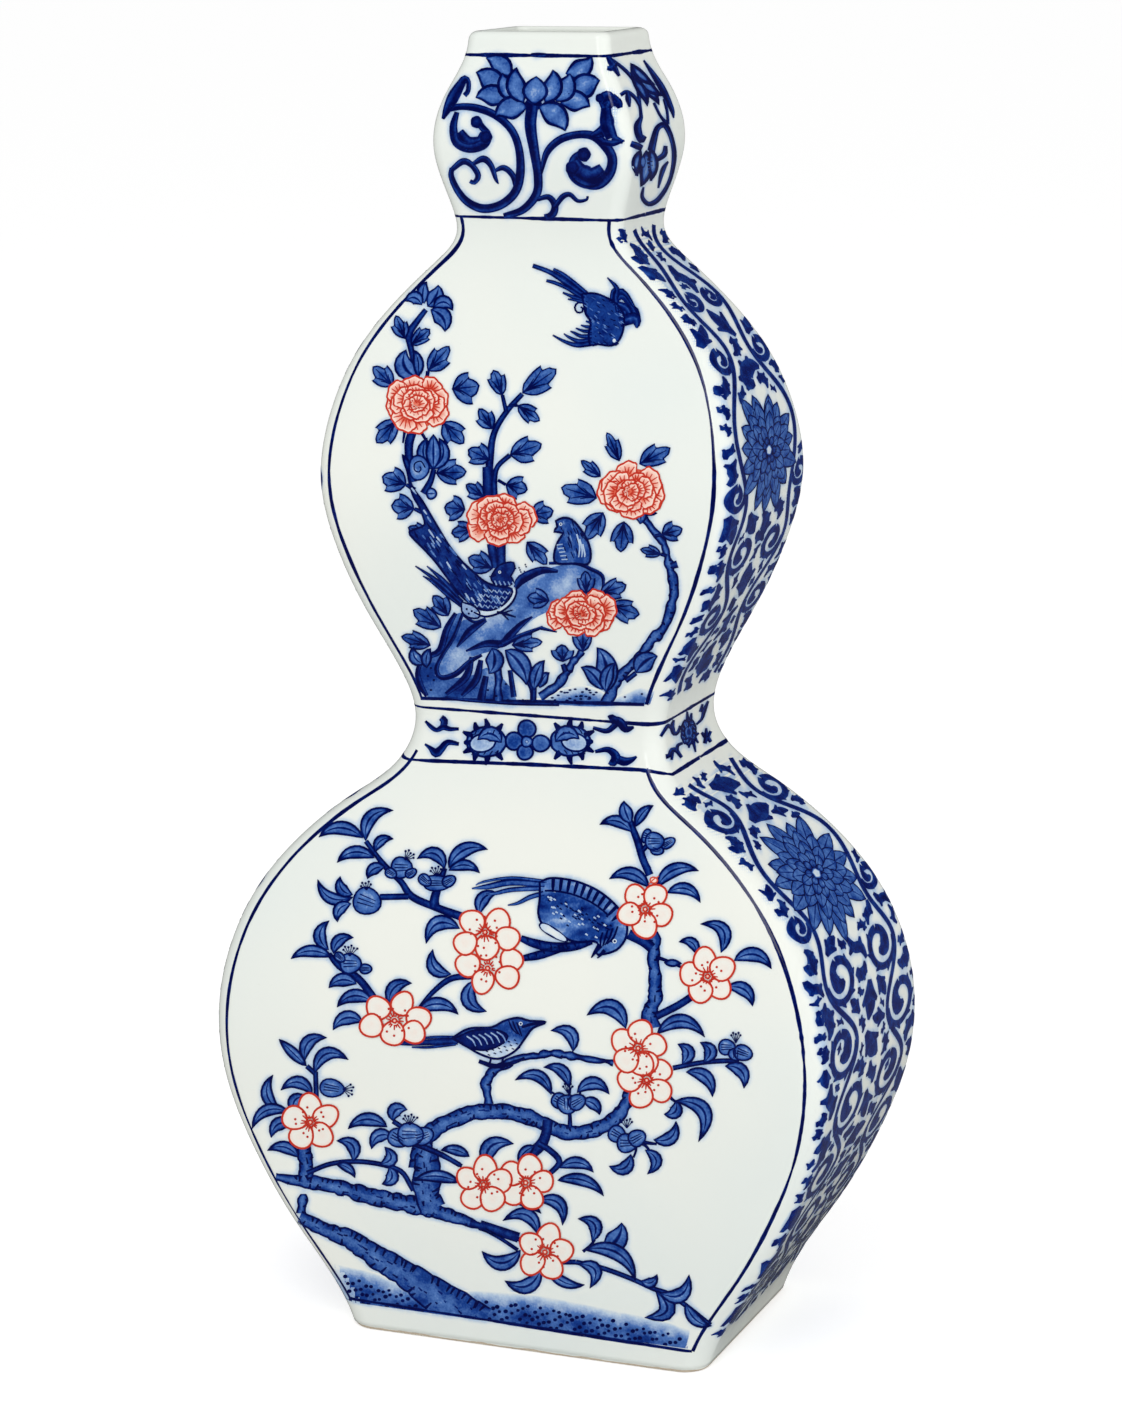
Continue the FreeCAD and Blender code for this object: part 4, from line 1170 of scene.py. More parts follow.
def paint_borders(ink):
    """Upright and level lines that frame the front panels."""
    rng = np.random.default_rng(11)
    for (low, high), lean in zip(upright_borders, panel_leans):
        for side in (-1, 1):
            corner = low + lean * side * (half_width(low) - border_insets[0][1])
            z = np.linspace(corner, high, round((high - corner) / 1.5))
            inset = np.interp(z, *zip(*border_insets))
            border_line(ink, np.column_stack([side * (half_width(z) - inset), z]), rng)
    for z, lean in zip(panel_levels, panel_leans):
        reach = half_width(z) - border_insets[0][1]
        u = np.arange(-reach, reach + 0.8, 1.6)
        border_line(ink, np.column_stack([u, z + lean * u]), rng)
    for z in level_borders:
        radius = glaze_radius(z)
        corner = radius * pi / 2
        reach = half_width(z) + half_depth(z) + 2 * (glaze_thickness - radius) + corner
        u = np.arange(-reach, reach + 0.5, 0.9)
        level = np.interp(u, *zip(*waist_line)) if z == level_borders[0] else np.full(len(u), z)
        border_line(ink, np.column_stack([u, level]), rng)


# The narrow sides. Their scrolls are drawn in millimetres, how far from the middle of the side and the run up
# the curved wall, and are then stretched across the side. Each lobe: lowest and highest height, the height and
# size of its flower, and how far the scroll stays inside the front and the back edge
side_lobes = ((12, 192, 160, 23, 0.6, 4), (218.5, 369, 298, 20.5, -1, 3))
side_stretch = 1.62
scroll_gap = 0.46
field_step = 0.6
field_half = 40.0
field_window = 15
vine_wave = 43.0
flower_squash = 0.86


def side_place(points):
    z = run_height(points[:, 1])
    radius = glaze_radius(z)
    flats = half_width(z) + half_depth(z) + 2 * (glaze_thickness - radius)
    return flats + radius * pi / 2 + points[:, 0] * side_stretch, z


def wall_run(z):
    return float(np.interp(z, front_outline[0], front_run))


class Field:
    """What is still free on one lobe's side: each place's distance from the nearest paint."""

    def __init__(self, low_z, high_z, near, far):
        self.low, self.high = wall_run(low_z), wall_run(high_z)
        self.across = np.arange(-field_half, field_half + 0.1, field_step)
        self.up = np.arange(self.low, self.high, field_step)
        y, s = np.meshgrid(self.across, self.up, indexing="ij")
        half = half_depth(run_height(s))
        across = np.minimum(half - near + y * side_stretch, half - far - y * side_stretch) / side_stretch
        self.free = np.minimum(across, np.minimum(s - self.low, self.high - s)) + scroll_gap

    def reach(self, run):
        return (half_depth(run_height(run)) - 1.5) / side_stretch

    def cell(self, x, y):
        i = np.clip(((x + field_half) / field_step).astype(int), 0, len(self.across) - 1)
        return i, np.clip(((y - self.low) / field_step).astype(int), 0, len(self.up) - 1)

    def mark(self, path):
        path = np.asarray(path, float)
        for x, y, width, i, j in zip(*path.T, *self.cell(path[:, 0], path[:, 1])):
            rows, columns = (slice(max(0, k - field_window), k + field_window + 1) for k in (i, j))
            away = np.hypot(self.across[rows][:, None] - x, self.up[columns][None] - y) - width / 2
            self.free[rows, columns] = np.minimum(self.free[rows, columns], away)

    def at(self, x, y):
        return self.free[self.cell(np.asarray(x), np.asarray(y))]

    def widest(self):
        i, j = np.unravel_index(np.argmax(self.free), self.free.shape)
        return self.across[i], self.up[j], self.free[i, j]


scroll_columns = ((-1, 0, 0.72), (-0.7, 0, 0.8), (-0.35, 0, 0.84), (0, 0, 0.86), (0.35, 0, 0.84), (0.7, 0, 0.8),
                  (1, 0, 0.72))

# Small leaves that fill a scroll: strokes (x, y, width) as shares of the leaf's length
hooked_leaf_shares = (
    ((-0.5, 0.06, 0.1), (-0.28, -0.11, 0.3), (0.02, -0.12, 0.42), (0.22, 0.02, 0.42), (0.2, 0.2, 0.3),
     (0.02, 0.27, 0.14)),
    ((-0.16, -0.2, 0.26), (-0.26, -0.4, 0.08)), ((0.1, -0.22, 0.28), (0.14, -0.46, 0.08)),
    ((0.34, -0.02, 0.26), (0.55, -0.12, 0.08)), ((0.3, 0.2, 0.22), (0.46, 0.26, 0.08)),
)
pointed_leaf_shares = (
    ((-0.5, 0.03, 0.14), (-0.12, 0.02, 0.36), (0.2, 0, 0.36), (0.5, -0.08, 0.08)),
    ((-0.18, 0.05, 0.28), (0.04, 0.37, 0.08)), ((-0.12, -0.06, 0.28), (0.12, -0.38, 0.08)),
)
toothed_vine_shares = (
    ((-0.5, -0.1, 0.12), (-0.2, 0.06, 0.28), (0.12, -0.05, 0.28), (0.5, 0.1, 0.1)),
    ((-0.15, 0.1, 0.24), (-0.08, 0.32, 0.08)), ((0.16, -0.08, 0.24), (0.24, -0.32, 0.08)),
)
leaf_sizes = (12.5, 11.0, 9.6, 8.4, 7.3, 6.3, 5.4, 4.6, 3.9)


def scroll_stroke(ink, field, waypoints, rise=2):
    path = smooth_path(waypoints, 1.0)
    path[:, 2] = np.maximum(path[:, 2], 0.3)
    ribbon(ink, path, scroll_columns, rise)
    field.mark(path)


def fill_with_leaves(ink, field, rng):
    """Set leaves into the free places, each as large as fits there, until only gaps are left."""
    turns = np.arange(24) / 24 * 2 * pi
    spin = np.stack([np.cos(turns), -np.sin(turns), np.sin(turns), np.cos(turns)], 1).reshape(-1, 2, 2)
    spin = np.concatenate([spin, spin * (1, -1)])
    kinds = (hooked_leaf_shares, pointed_leaf_shares, hooked_leaf_shares, toothed_vine_shares)
    for _ in range(1500):
        x, y, room = field.widest()
        if room < scroll_gap + 0.5:
            break
        kind = kinds[rng.integers(len(kinds))]
        shares = np.array([point for stroke in kind for point in stroke])
        for size in leaf_sizes:
            places = np.array([x, y]) + size * np.einsum("kij,nj->kni", spin, shares[:, :2])
            free = field.at(places[..., 0], places[..., 1])
            fits = np.flatnonzero((free - size * shares[:, 2] / 2).min(axis=1) > scroll_gap)
            if len(fits):
                chosen = rng.choice(fits)
                turn = spin[chosen]
                fat = np.clip(((free[chosen] - scroll_gap) * 2 / size / shares[:, 2]).min(), 1, 1.35)
                for stroke in kind:
                    stroke = np.array(stroke) * size * (1, 1, fat)
                    scroll_stroke(ink, field, np.column_stack([stroke[:, :2] @ turn.T + (x, y), stroke[:, 2]]))
                break
        field.mark(((x, y, 0.9),))


# The heart of a curl: (turn, reach, width), both as shares of the curl's size
comma_shares = ((5.3, 0.56, 0.42), (6, 0.4, 0.6), (6.9, 0.3, 0.7), (7.9, 0.24, 0.5), (8.8, 0.28, 0.2))


def curl(ink, field, x, y, size, start, hand):
    """A ring that winds in to a thick toothed comma."""
    def spot(t, reach):
        return np.array([x, y]) + size * reach * heading(start + hand * t)

    ring = [(*spot(t, 1 - 0.07 * t), 2.0 + 0.24 * t) for t in np.linspace(0, 4.7, 12)]
    scroll_stroke(ink, field, ring)
    heart = [(*spot(t, reach), width * size) for t, reach, width in comma_shares]
    scroll_stroke(ink, field, ring[-1:] + heart)
    for t in (0.5, 1.3, 2.1, 2.9, 3.7):
        foot = spot(t, 1 - 0.07 * t)
        tip = foot + size * 0.34 * heading(start + hand * t + hand * 0.8)
        if field.at(*tip) > 0.3:
            scroll_stroke(ink, field, ((*foot, size * 0.36), (*tip, 0.5)))


side_petal_columns = ((-1, 0, 1), (-1, 0.4, 0.95), (-1, 0.6, 0.56), (-0.14, 0.6, 0.48), (0, 0.6, 0.9),
                      (0.14, 0.6, 0.5), (1, 0.6, 0.6), (1, 0.4, 0.95), (1, 0, 1))


# Rings of petals of a side flower: how many, their reach and width as shares of the flower's size, and their rise
side_flower_shares = ((15, 1, 0.3, 4), (13, 0.8, 0.28, 7), (11, 0.6, 0.24, 10), (9, 0.42, 0.19, 13),
                      (7, 0.25, 0.13, 16))


def side_flower(ink, field, y, size, rng):
    """The many-petalled flower in the middle of a lobe's side."""
    for count, reach, wide, rise in side_flower_shares:
        for i in range(count):
            turn = (i + rng.uniform(-0.2, 0.2) + (rise % 2) * 0.5) / count * 2 * pi
            out = heading(turn) * (flower_squash, 1)
            root = out * size * 0.06 + (0, y)
            tip = out * size * reach * rng.uniform(0.86, 1.08) + (0, y)
            t = np.linspace(0, 1, 10)[:, None]
            width = size * wide * np.sin(pi * t ** 1.25) ** 0.75 + 0.25
            ribbon(ink, np.hstack([root + (tip - root) * t, width]), side_petal_columns, rise + (i % 3) * 0.8)
    oval(ink, 0, y, size * 0.18, size * 0.18, ((1, 0, 0.9), (0.6, 0, 0.1), (0.2, 0, 0.1)), 20, 12, 0, 0.1)
    turn = np.linspace(0, 2 * pi, 48)
    for reach in (0.15, 0.45, 0.78):
        field.mark(np.column_stack([size * flower_squash * reach * np.cos(turn), y + size * reach * np.sin(turn),
                                    np.full(len(turn), size * 0.3)]))


def paint_side_lobe(ink, low_z, high_z, flower_z, size, near, far, seed):
    """Two winding vines with curls, the flower between them, and leaves in what is left free."""
    rng = np.random.default_rng(seed)
    field = Field(low_z, high_z, near, far)
    heart = wall_run(flower_z)
    side_flower(ink, field, heart, size, rng)

    def vine(run):
        reach = field.reach(run)
        push = exp(-((run - heart) / (size * 1.2)) ** 2)
        swing = sin(2 * pi * (run - heart) / vine_wave)
        return reach * (0.5 + 0.25 * push), reach * (0.19 - 0.1 * push) * swing, reach

    for side in (-1, 1):
        path = []
        for run in np.arange(field.low + 2, field.high - 1, 2.6):
            base, sway, _ = vine(run)
            path.append((side * (base + sway), run, 2.1))
        scroll_stroke(ink, field, path)
    low_turn, high_turn = (ceil((field.low - heart) / vine_wave * 2), int((field.high - heart) / vine_wave * 2))
    for i in range(low_turn, high_turn):
        run = heart + vine_wave * (i + 0.5) / 2
        base, sway, reach = vine(run)
        outward = -1 if sway > 0 else 1
        for side in (-1, 1):
            radius = reach * 0.27
            for _ in range(6):
                x = side * (base + sway + outward * (radius + 0.6))
                clear = abs(x) + radius < reach + 0.5 and abs(x) - radius > 0.2
                if clear and hypot(x / flower_squash, run - heart) > size + radius - 1:
                    curl(ink, field, x, run, radius, pi / 2 * (1 + side * outward), side * outward)
                    break
                radius *= 0.85
    for run in np.arange(heart - vine_wave * 0.75, field.low + 12, -vine_wave / 2):
        radius = field.reach(run) * 0.15
        for side in (-1, 1):
            if field.at(side * radius * 1.2, run) > radius * 0.8:
                curl(ink, field, side * radius * 1.2, run + side, radius, pi / 2 * (1 + side), -side)
    fill_with_leaves(ink, field, rng)


# The bulb's narrow side and the collar's, in pixels of the photograph: strokes with their width
bulb_side_strokes = (
    ((643.4, 187, 2), (642, 197, 4), (648.5, 204, 5), (658.7, 198.6, 5), (669.5, 180.5, 4), (674, 157.6, 5),
     (671.7, 139.7, 5), (665, 125.4, 6), (657.4, 128, 6), (653.6, 139.7, 7), (651, 151, 8)),
    ((656, 160, 5), (664, 154.4, 6), (665.4, 145.8, 4)), ((668, 161.4, 2), (662.5, 170.3, 5), (658, 188.2, 2)),
    ((607.7, 56.5, 3), (625.5, 70.8, 4), (636.3, 85.4, 4), (639.8, 106.5, 3.4), (641, 118, 4)),
    ((620.4, 95, 4), (626.8, 91.8, 4), (635, 97.9, 4), (639.8, 106.5, 3)),
    ((627, 92, 3), (628, 99, 6), (629.4, 107, 2)), ((641, 117, 4), (637.3, 127, 8), (640.8, 140, 7), (645, 136, 4)),
    ((630.6, 143.5, 6), (637, 146, 7), (642, 148.3, 6)), ((653.6, 102.7, 3), (660, 115.5, 3), (666, 123, 4)),
    ((663.8, 98.9, 3), (667, 112, 3), (667.9, 124.4, 3)),
    ((643.4, 60.3, 2), (654.8, 77, 6), (663.3, 91, 7), (671.5, 109, 5), (673.5, 118, 1.6)),
    ((607, 57, 3), (612, 64, 7), (619, 76, 3)), ((607, 68, 4), (612, 68, 6), (617, 62, 4)),
    ((646, 176, 6), (641, 186, 2)), ((652, 172, 5), (651, 181, 2)), ((641, 160, 9), (636, 176, 3)),
)
bulb_side_leaves = ((631, 77, 648.5, 105.5, 0.06, 6), (630, 63, 654, 86, -0.05, 6), (630, 72, 660.5, 103.5, 0.03, 7.5),
                    (630, 67, 661, 97.5, -0.03, 7.5), (641, 150, 636.5, 176, -0.1, 6), (646, 150, 642, 187, 0.05, 8),
                    (650, 148, 651.5, 181, 0.06, 7))
collar_side_strokes = (
    ((660.5, 736.4, 2.4), (664, 731, 2.6), (668, 725.5, 3), (671, 728, 3)),
    ((673.6, 720, 1.8), (672, 727, 3.6), (674, 733.6, 3.4), (677.5, 732.5, 2.6), (679.5, 727.5, 2)),
    ((665.5, 756.5, 3.8), (669, 755.5, 3.2), (672, 750, 4), (676, 750.5, 3.4), (681.5, 757.5, 2.6)),
    ((677, 751, 2.6), (677.5, 745.5, 2.6), (682.5, 743, 2)), ((672, 752, 3), (671.5, 760, 2)),
    ((696, 724.5, 1.8), (701.5, 719, 2.2), (704, 711, 3.2), (708, 701, 1.8)), ((700.4, 712, 3), (702.4, 704, 1.6)),
    ((701.3, 732.5, 2), (705, 736.5, 3.6), (708.5, 739, 3.4), (710.6, 742, 2.4)),
    ((706, 728, 1.8), (706, 736, 3.2), (704.5, 743.5, 3)), ((710.6, 731, 2.4), (707.5, 737.5, 2.6)),
    ((687.4, 720, 3), (687, 711.5, 1.4)), ((690.4, 720, 3), (691.4, 713, 1.4)), ((682, 729, 3), (678.5, 726, 1.4)),
    ((689, 743, 3), (688.6, 748, 1.4)), ((693, 741, 3), (695.4, 752, 1.4)), ((695, 735, 3), (698.8, 733, 1.4)),
    ((694.6, 738, 3), (698.2, 743, 1.4)),
)
collar_flower_lines = (((684.5, 726, 1), (684, 733, 1.2), (685.4, 739, 1)), ((688, 723, 1), (688, 728, 1.2)),
                       ((692, 726, 1), (692.6, 733, 1.2), (691.6, 739, 1)), ((688.6, 736, 1), (688.6, 742, 1.2)))


def paint_sides(ink, small):
    for i, row in enumerate(side_lobes):
        paint_side_lobe(ink, *row, seed=30 + i)
    for paths, broader in ((bulb_side_strokes, 1), (collar_side_strokes, 1.35)):
        strokes(small, paths, thick_columns, 2, 2.2, broader)
    for row in bulb_side_leaves:
        leaf(small, *row, rise=5, columns=lotus_columns)
    x, y = 688.4, 732
    for turn in np.linspace(0, 2 * pi, 13)[:-1]:
        out = heading(turn) * (8.4, 14.5)
        leaf(small, x + out[0] * 0.2, y + out[1] * 0.2, x + out[0], y + out[1], 0, 5.4, rise=4)
    oval(small, x, y, 8, 13, ((1, 0, 0.9), (0.7, 0, 0.5), (0.3, 0, 0.9)), 6, 16)
    for path in collar_flower_lines:
        line(small, path, 7)
    oval(small, 642.7, 162, 5, 12, ((1, 0, 1), (0.6, 0, 0.45), (0.3, 0, 0.4)), 7, 14)


# Making meshes. Triangles with less than this area, in square millimetres, are left out
smallest_triangle = 1e-4


def new_piece(name, points, faces, normals=None):
    mesh = bpy.data.meshes.new(name)
    mesh.from_pydata(np.asarray(points).tolist(), [], np.asarray(faces).tolist())
    mesh.polygons.foreach_set("use_smooth", np.full(len(mesh.polygons), True))
    mesh.update()
    if normals is not None:
        mesh.normals_split_custom_set_from_vertices(normals.tolist())
    piece = bpy.data.objects.new(name, mesh)
    bpy.context.scene.collection.objects.link(piece)
    return piece


def glaze_piece(piece, material):
    """What every piece on the vase's outside shares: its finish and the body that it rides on."""
    piece.data.materials.append(material)
    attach(piece, "root")


def painted_piece(name, points, faces, normals, tones, about_face, material):
    """A piece whose points hold their tone; about_face turns it half way round the vase."""
    if about_face:
        points, normals = points * (-1, -1, 1), normals * (-1, -1, 1)
    piece = new_piece(name, points * MM, faces, normals)
    piece.data.attributes.new("tone", "FLOAT", "POINT").data.foreach_set("value", tones.astype(np.float32))
    glaze_piece(piece, material)


def lay_paint(name, inks, lift, about_face, material):
    """One piece of paint from drawings, laid on the glaze."""
    points, normals, tones, triangles = [], [], [], []
    size = 0
    for ink in inks:
        u, z = ink.place(np.concatenate(ink.points))
        place, normal = on_glaze(u, z, lift + np.concatenate(ink.rises))
        points.append(place)
        normals.append(normal)
        tones.append(np.concatenate(ink.tones))
        triangles.append(np.concatenate(ink.triangles) + size)
        size += len(place)
    points, normals = np.concatenate(points), np.concatenate(normals)
    tones, triangles = np.concatenate(tones), np.concatenate(triangles)
    a, b, c = (points[triangles[:, i]] for i in range(3))
    facing = np.cross(b - a, c - a)
    area = np.linalg.norm(facing, axis=1) / 2
    kept = area > smallest_triangle
    flipped = (facing * normals[triangles[:, 0]]).sum(axis=1) < 0
    triangles[flipped] = triangles[flipped][:, ::-1]
    triangles = triangles[kept]
    used = np.unique(triangles)
    place_of = np.zeros(len(points), int)
    place_of[used] = np.arange(len(used))
    painted_piece(name, points[used], place_of[triangles], normals[used], tones[used], about_face, material)


# The pale bleed of the cobalt into the glaze: a fine sheet under the strokes
bleed_step = 0.8
bleed_blur = 1.15
bleed_lowest = 0.02
bleed_lift = 0.25


def lay_bleed(name, inks, lift, about_face, strength, material):
    """A sheet that is darkest where the drawings are dense, and ends where nothing of them is left."""
    placed = []
    for ink in inks:
        u, z = ink.place(np.concatenate(ink.points))
        corners = np.stack([u, z], 1)[np.concatenate(ink.triangles)]
        tone = np.concatenate(ink.tones)[np.concatenate(ink.triangles)].mean(axis=1)
        first, second = corners[:, 1] - corners[:, 0], corners[:, 2] - corners[:, 0]
        weight = np.abs(crossed(first, second)) / 2 * tone
        middle = corners.mean(axis=1)
        for spot in (middle, *(middle + (corners[:, i] - middle) * 0.6 for i in range(3))):
            placed.append(np.column_stack([spot, weight / 4]))
    placed = np.concatenate(placed)
    reach = 5 * bleed_blur
    low = placed[:, :2].min(axis=0) - reach
    size = np.ceil((placed[:, :2].max(axis=0) + reach - low) / bleed_step).astype(int)
    cell = np.rint((placed[:, :2] - low) / bleed_step).astype(int)
    cover = np.bincount(cell[:, 0] * size[1] + cell[:, 1], placed[:, 2], minlength=size[0] * size[1]).reshape(size)
    cover = np.minimum(cover / bleed_step ** 2, 1)
    spreading = np.exp(-(np.arange(-5, 6) * bleed_step / bleed_blur) ** 2 / 2)
    spreading /= spreading.sum()
    for axis in (0, 1):
        cover = sum(share * np.roll(cover, i - 5, axis) for i, share in enumerate(spreading))
    u, z = np.meshgrid(low[0] + np.arange(size[0]) * bleed_step, low[1] + np.arange(size[1]) * bleed_step,
                       indexing="ij")
    first = (np.arange(size[0] - 1)[:, None] * size[1] + np.arange(size[1] - 1)).ravel()
    quads = np.stack([first, first + size[1], first + size[1] + 1, first + 1], 1)
    quads = quads[(cover.ravel()[quads].max(axis=1) > bleed_lowest) & (z.ravel()[quads].min(axis=1) > 1)]
    used, faces = np.unique(quads, return_inverse=True)
    points, normals = on_glaze(u.ravel()[used], z.ravel()[used], lift)
    tones = strength * cover.ravel()[used]
    painted_piece(name, points, faces.reshape(-1, 4), normals, tones, about_face, material)


corner_steps, front_steps, side_steps = 12, 26, 14
ring_rise = 1.5
glaze_edge_height = 1.5
glaze_skin_depth = 1.5
lip_skirt = 8.5


def level_ring(half_x, half_y, radius, z):
    """Points of one level section of the vase, the same number in each."""
    inner_x, inner_y = half_x - radius, half_y - radius
    centres = ((inner_x, -inner_y), (inner_x, inner_y), (-inner_x, inner_y), (-inner_x, -inner_y))
    arcs = []
    for quarter, (x, y) in enumerate(centres):
        turn = pi / 2 * (quarter - 1 + np.arange(corner_steps + 1) / corner_steps)
        arcs.append(np.stack([x + radius * np.cos(turn), y + radius * np.sin(turn)], 1))
    points = []
    for quarter in range(4):
        steps = front_steps if quarter % 2 else side_steps
        share = np.arange(1, steps)[:, None] / steps
        start, end = arcs[quarter][-1], arcs[(quarter + 1) % 4][0]
        points += [arcs[quarter], start + (end - start) * share]
    points = np.vstack(points)
    return np.column_stack([points, np.full(len(points), z)])


def lip_ring(inward, z):
    """A level section of the glaze over the lip, moved inward from its outside."""
    share = inward / (lip_wall + 2 * glaze_thickness)
    height = min(z, station_heights[-1])
    radius = glaze_radius(height) * (1 - share) + (lip_bore_radius - glaze_thickness) * share
    return level_ring(half_width(height) + glaze_thickness - inward, half_depth(height) + glaze_thickness - inward,
                      radius, z)


def glaze_rings():
    """Sections of the glaze, up the outside, over the lip, down the bore and back down within the wall."""
    top = station_heights[-1] + glaze_thickness
    outer, inner = lip_outer_round + glaze_thickness, lip_inner_round + glaze_thickness
    across = lip_wall + 2 * glaze_thickness
    rings = [lip_ring(0, z) for z in np.append(np.arange(glaze_edge_height, top - outer - 0.7, ring_rise),
                                               top - outer)]
    for turn in np.linspace(0, pi / 2, 7)[1:]:
        rings.append(lip_ring(outer * (1 - cos(turn)), top - outer + outer * sin(turn)))
    for turn in np.linspace(pi / 2, 0, 5):
        rings.append(lip_ring(across - inner * (1 - cos(turn)), top - inner + inner * sin(turn)))
    rings += [lip_ring(across, top - inner - down) for down in np.linspace(1.2, lip_skirt, 6)]
    rings.append(lip_ring(across - glaze_skin_depth, top - inner - lip_skirt))
    rings += [lip_ring(glaze_skin_depth, z) for z in np.linspace(station_heights[-1] - 10, 3.0, 110)]
    rings.append(lip_ring(glaze_skin_depth, glaze_edge_height))
    rings.append(lip_ring(glaze_skin_depth / 2, glaze_edge_height - 0.25))
    return rings


def make_glaze(material):
    """The clear coat over the whole outside and the lip, a little uneven where it ends at the foot."""
    rings = glaze_rings()
    rng = np.random.default_rng(2)
    size = len(rings[0])
    turn = np.arange(size) / size * 2 * pi
    wave = sum(rng.uniform(-1, 1) * np.sin(k * turn + rng.uniform(0, 6.3)) / k for k in (5, 9, 14, 23)) * 0.5
    for ring in (rings[0], rings[-1]):
        ring[:, 2] += wave
    faces = []
    for row in range(len(rings)):
        here, above = row * size, (row + 1) % len(rings) * size
        for i in range(size):
            after = (i + 1) % size
            faces.append((here + i, here + after, above + after, above + i))
    glaze_piece(new_piece("glaze_coat", np.vstack(rings) * MM, faces), material)


# Materials. Bumps are (strength, depth in metres), and the other lengths are metres too
glaze_ior = 1.5
glaze_shine = 0.3
bare_roughness = 0.62
glaze_bump = (0.35, 0.0006)
foot_bump = (0.4, 0.0004)
glaze_edge_wander = 0.0006
glaze_edge_fade = 0.0003
brown_line = 0.0008
speck_brown = (150, 140, 120)


def linear(colour):
    """A screen colour, 0 to 255, as Blender's linear one."""
    return tuple(((v / 255 + 0.055) / 1.055) ** 2.4 if v > 10.3 else v / 255 / 12.92 for v in colour) + (1.0,)


def new_group(name, inputs, outputs):
    """A shader group with named inputs (name, kind, default) and outputs (name, kind)."""
    group = bpy.data.node_groups.new(name, "ShaderNodeTree")
    for label, kind, default in inputs:
        socket = group.interface.new_socket(name=label, in_out="INPUT", socket_type="NodeSocket" + kind)
        socket.default_value = default
    for label, kind in outputs:
        group.interface.new_socket(name=label, in_out="OUTPUT", socket_type="NodeSocket" + kind)
    return group, group.nodes.new("NodeGroupInput"), group.nodes.new("NodeGroupOutput")


def plug(tree, value, socket):
    """Link a socket to another one, or set it to a constant value."""
    if isinstance(value, bpy.types.NodeSocket):
        tree.links.new(value, socket)
    else:
        socket.default_value = value


def add_node(tree, kind, inputs, **settings):
    """A shader node with its own settings; its inputs are given by name or number."""
    node = tree.nodes.new("ShaderNode" + kind)
    for name, value in settings.items():
        setattr(node, name, value)
    for label, value in inputs.items():
        plug(tree, value, node.inputs[label])
    return node


def noise(tree, scale, detail=3.0):
    """Noise in the object's own space, its scale in waves per metre."""
    place = add_node(tree, "TexCoord", {}).outputs["Object"]
    return add_node(tree, "TexNoise", {"Vector": place, "Scale": scale, "Detail": detail}).outputs["Fac"]


def spread(tree, value, low, high, out_low=0.0, out_high=1.0):
    """The value's range low to high carried over to another range, and held there."""
    return add_node(tree, "MapRange", {"Value": value, "From Min": low, "From Max": high, "To Min": out_low,
                                       "To Max": out_high}).outputs["Result"]


def sums(tree, kind, first, second):
    return add_node(tree, "Math", {0: first, 1: second}, operation=kind).outputs[0]


def times(tree, first, second):
    return sums(tree, "MULTIPLY", first, second)


def blend_colours(tree, share, first, second):
    return add_node(tree, "Mix", {0: share, 6: first, 7: second}, data_type="RGBA").outputs[2]


def glaze_skin_group(white, cool):
    """The glaze's own look: a slow drift of colour, specks, and a fine unevenness like orange skin."""
    group, given, out = new_group("glaze_skin", (("White", "Color", white), ("Cool", "Color", cool)),
                                  (("Colour", "Color"), ("Roughness", "Float"), ("Height", "Float")))
    drift = spread(group, noise(group, 9.0, 2.0), 0.38, 0.7)
    colour = blend_colours(group, times(group, drift, 0.55), given.outputs["White"],
                           given.outputs["Cool"])
    specks = spread(group, noise(group, 900.0, 1.0), 0.78, 0.84)
    colour = blend_colours(group, times(group, specks, 0.10), colour, linear(speck_brown))
    group.links.new(colour, out.inputs["Colour"])
    group.links.new(spread(group, noise(group, 60.0, 3.0), 0.3, 0.7, 0.05, 0.11), out.inputs["Roughness"])
    height = sums(group, "ADD", times(group, noise(group, 55.0, 2.0), 0.8),
                  times(group, noise(group, 420.0, 1.0), 0.10))
    group.links.new(height, out.inputs["Height"])
    return group


def brush_tone_group():
    """How a painted wash pools and thins: the tone it is given, broken up at two scales."""
    group, given, out = new_group("brush_tone", (("Tone", "Float", 0.5), ("Pooling", "Float", 0.3)),
                                  (("Tone", "Float"), ("Shown", "Float")))
    tone = given.outputs["Tone"]
    broad = spread(group, noise(group, 260.0, 3.0), 0.25, 0.75, -0.5, 0.5)
    fine = spread(group, noise(group, 1400.0, 2.0), 0.25, 0.75, -0.5, 0.5)
    mixed = sums(group, "ADD", broad, times(group, fine, 0.5))
    room = times(group, tone, sums(group, "SUBTRACT", 1.25, tone))
    shift = times(group, times(group, mixed, room), given.outputs["Pooling"])
    group.links.new(sums(group, "ADD", tone, times(group, shift, 2.4)), out.inputs["Tone"])
    group.links.new(spread(group, tone, 0.0, 0.08), out.inputs["Shown"])
    return group


def group_node(tree, name, **inputs):
    return add_node(tree, "Group", inputs, node_tree=bpy.data.node_groups[name])


def new_material(name):
    material = bpy.data.materials.new(name)
    material.use_nodes = True
    shader = material.node_tree.nodes["Principled BSDF"]
    shader.inputs["IOR"].default_value = glaze_ior
    shader.inputs["Specular IOR Level"].default_value = glaze_shine
    return material.node_tree, shader


def add_bump(tree, shader, height, strength, distance):
    bump = add_node(tree, "Bump", {"Strength": strength, "Distance": distance, "Height": height})
    tree.links.new(bump.outputs["Normal"], shader.inputs["Normal"])


def glaze_material():
    tree, shader = new_material("clear_glaze")
    skin = group_node(tree, "glaze_skin")
    tree.links.new(skin.outputs["Colour"], shader.inputs["Base Color"])
    tree.links.new(skin.outputs["Roughness"], shader.inputs["Roughness"])
    add_bump(tree, shader, skin.outputs["Height"], *glaze_bump)


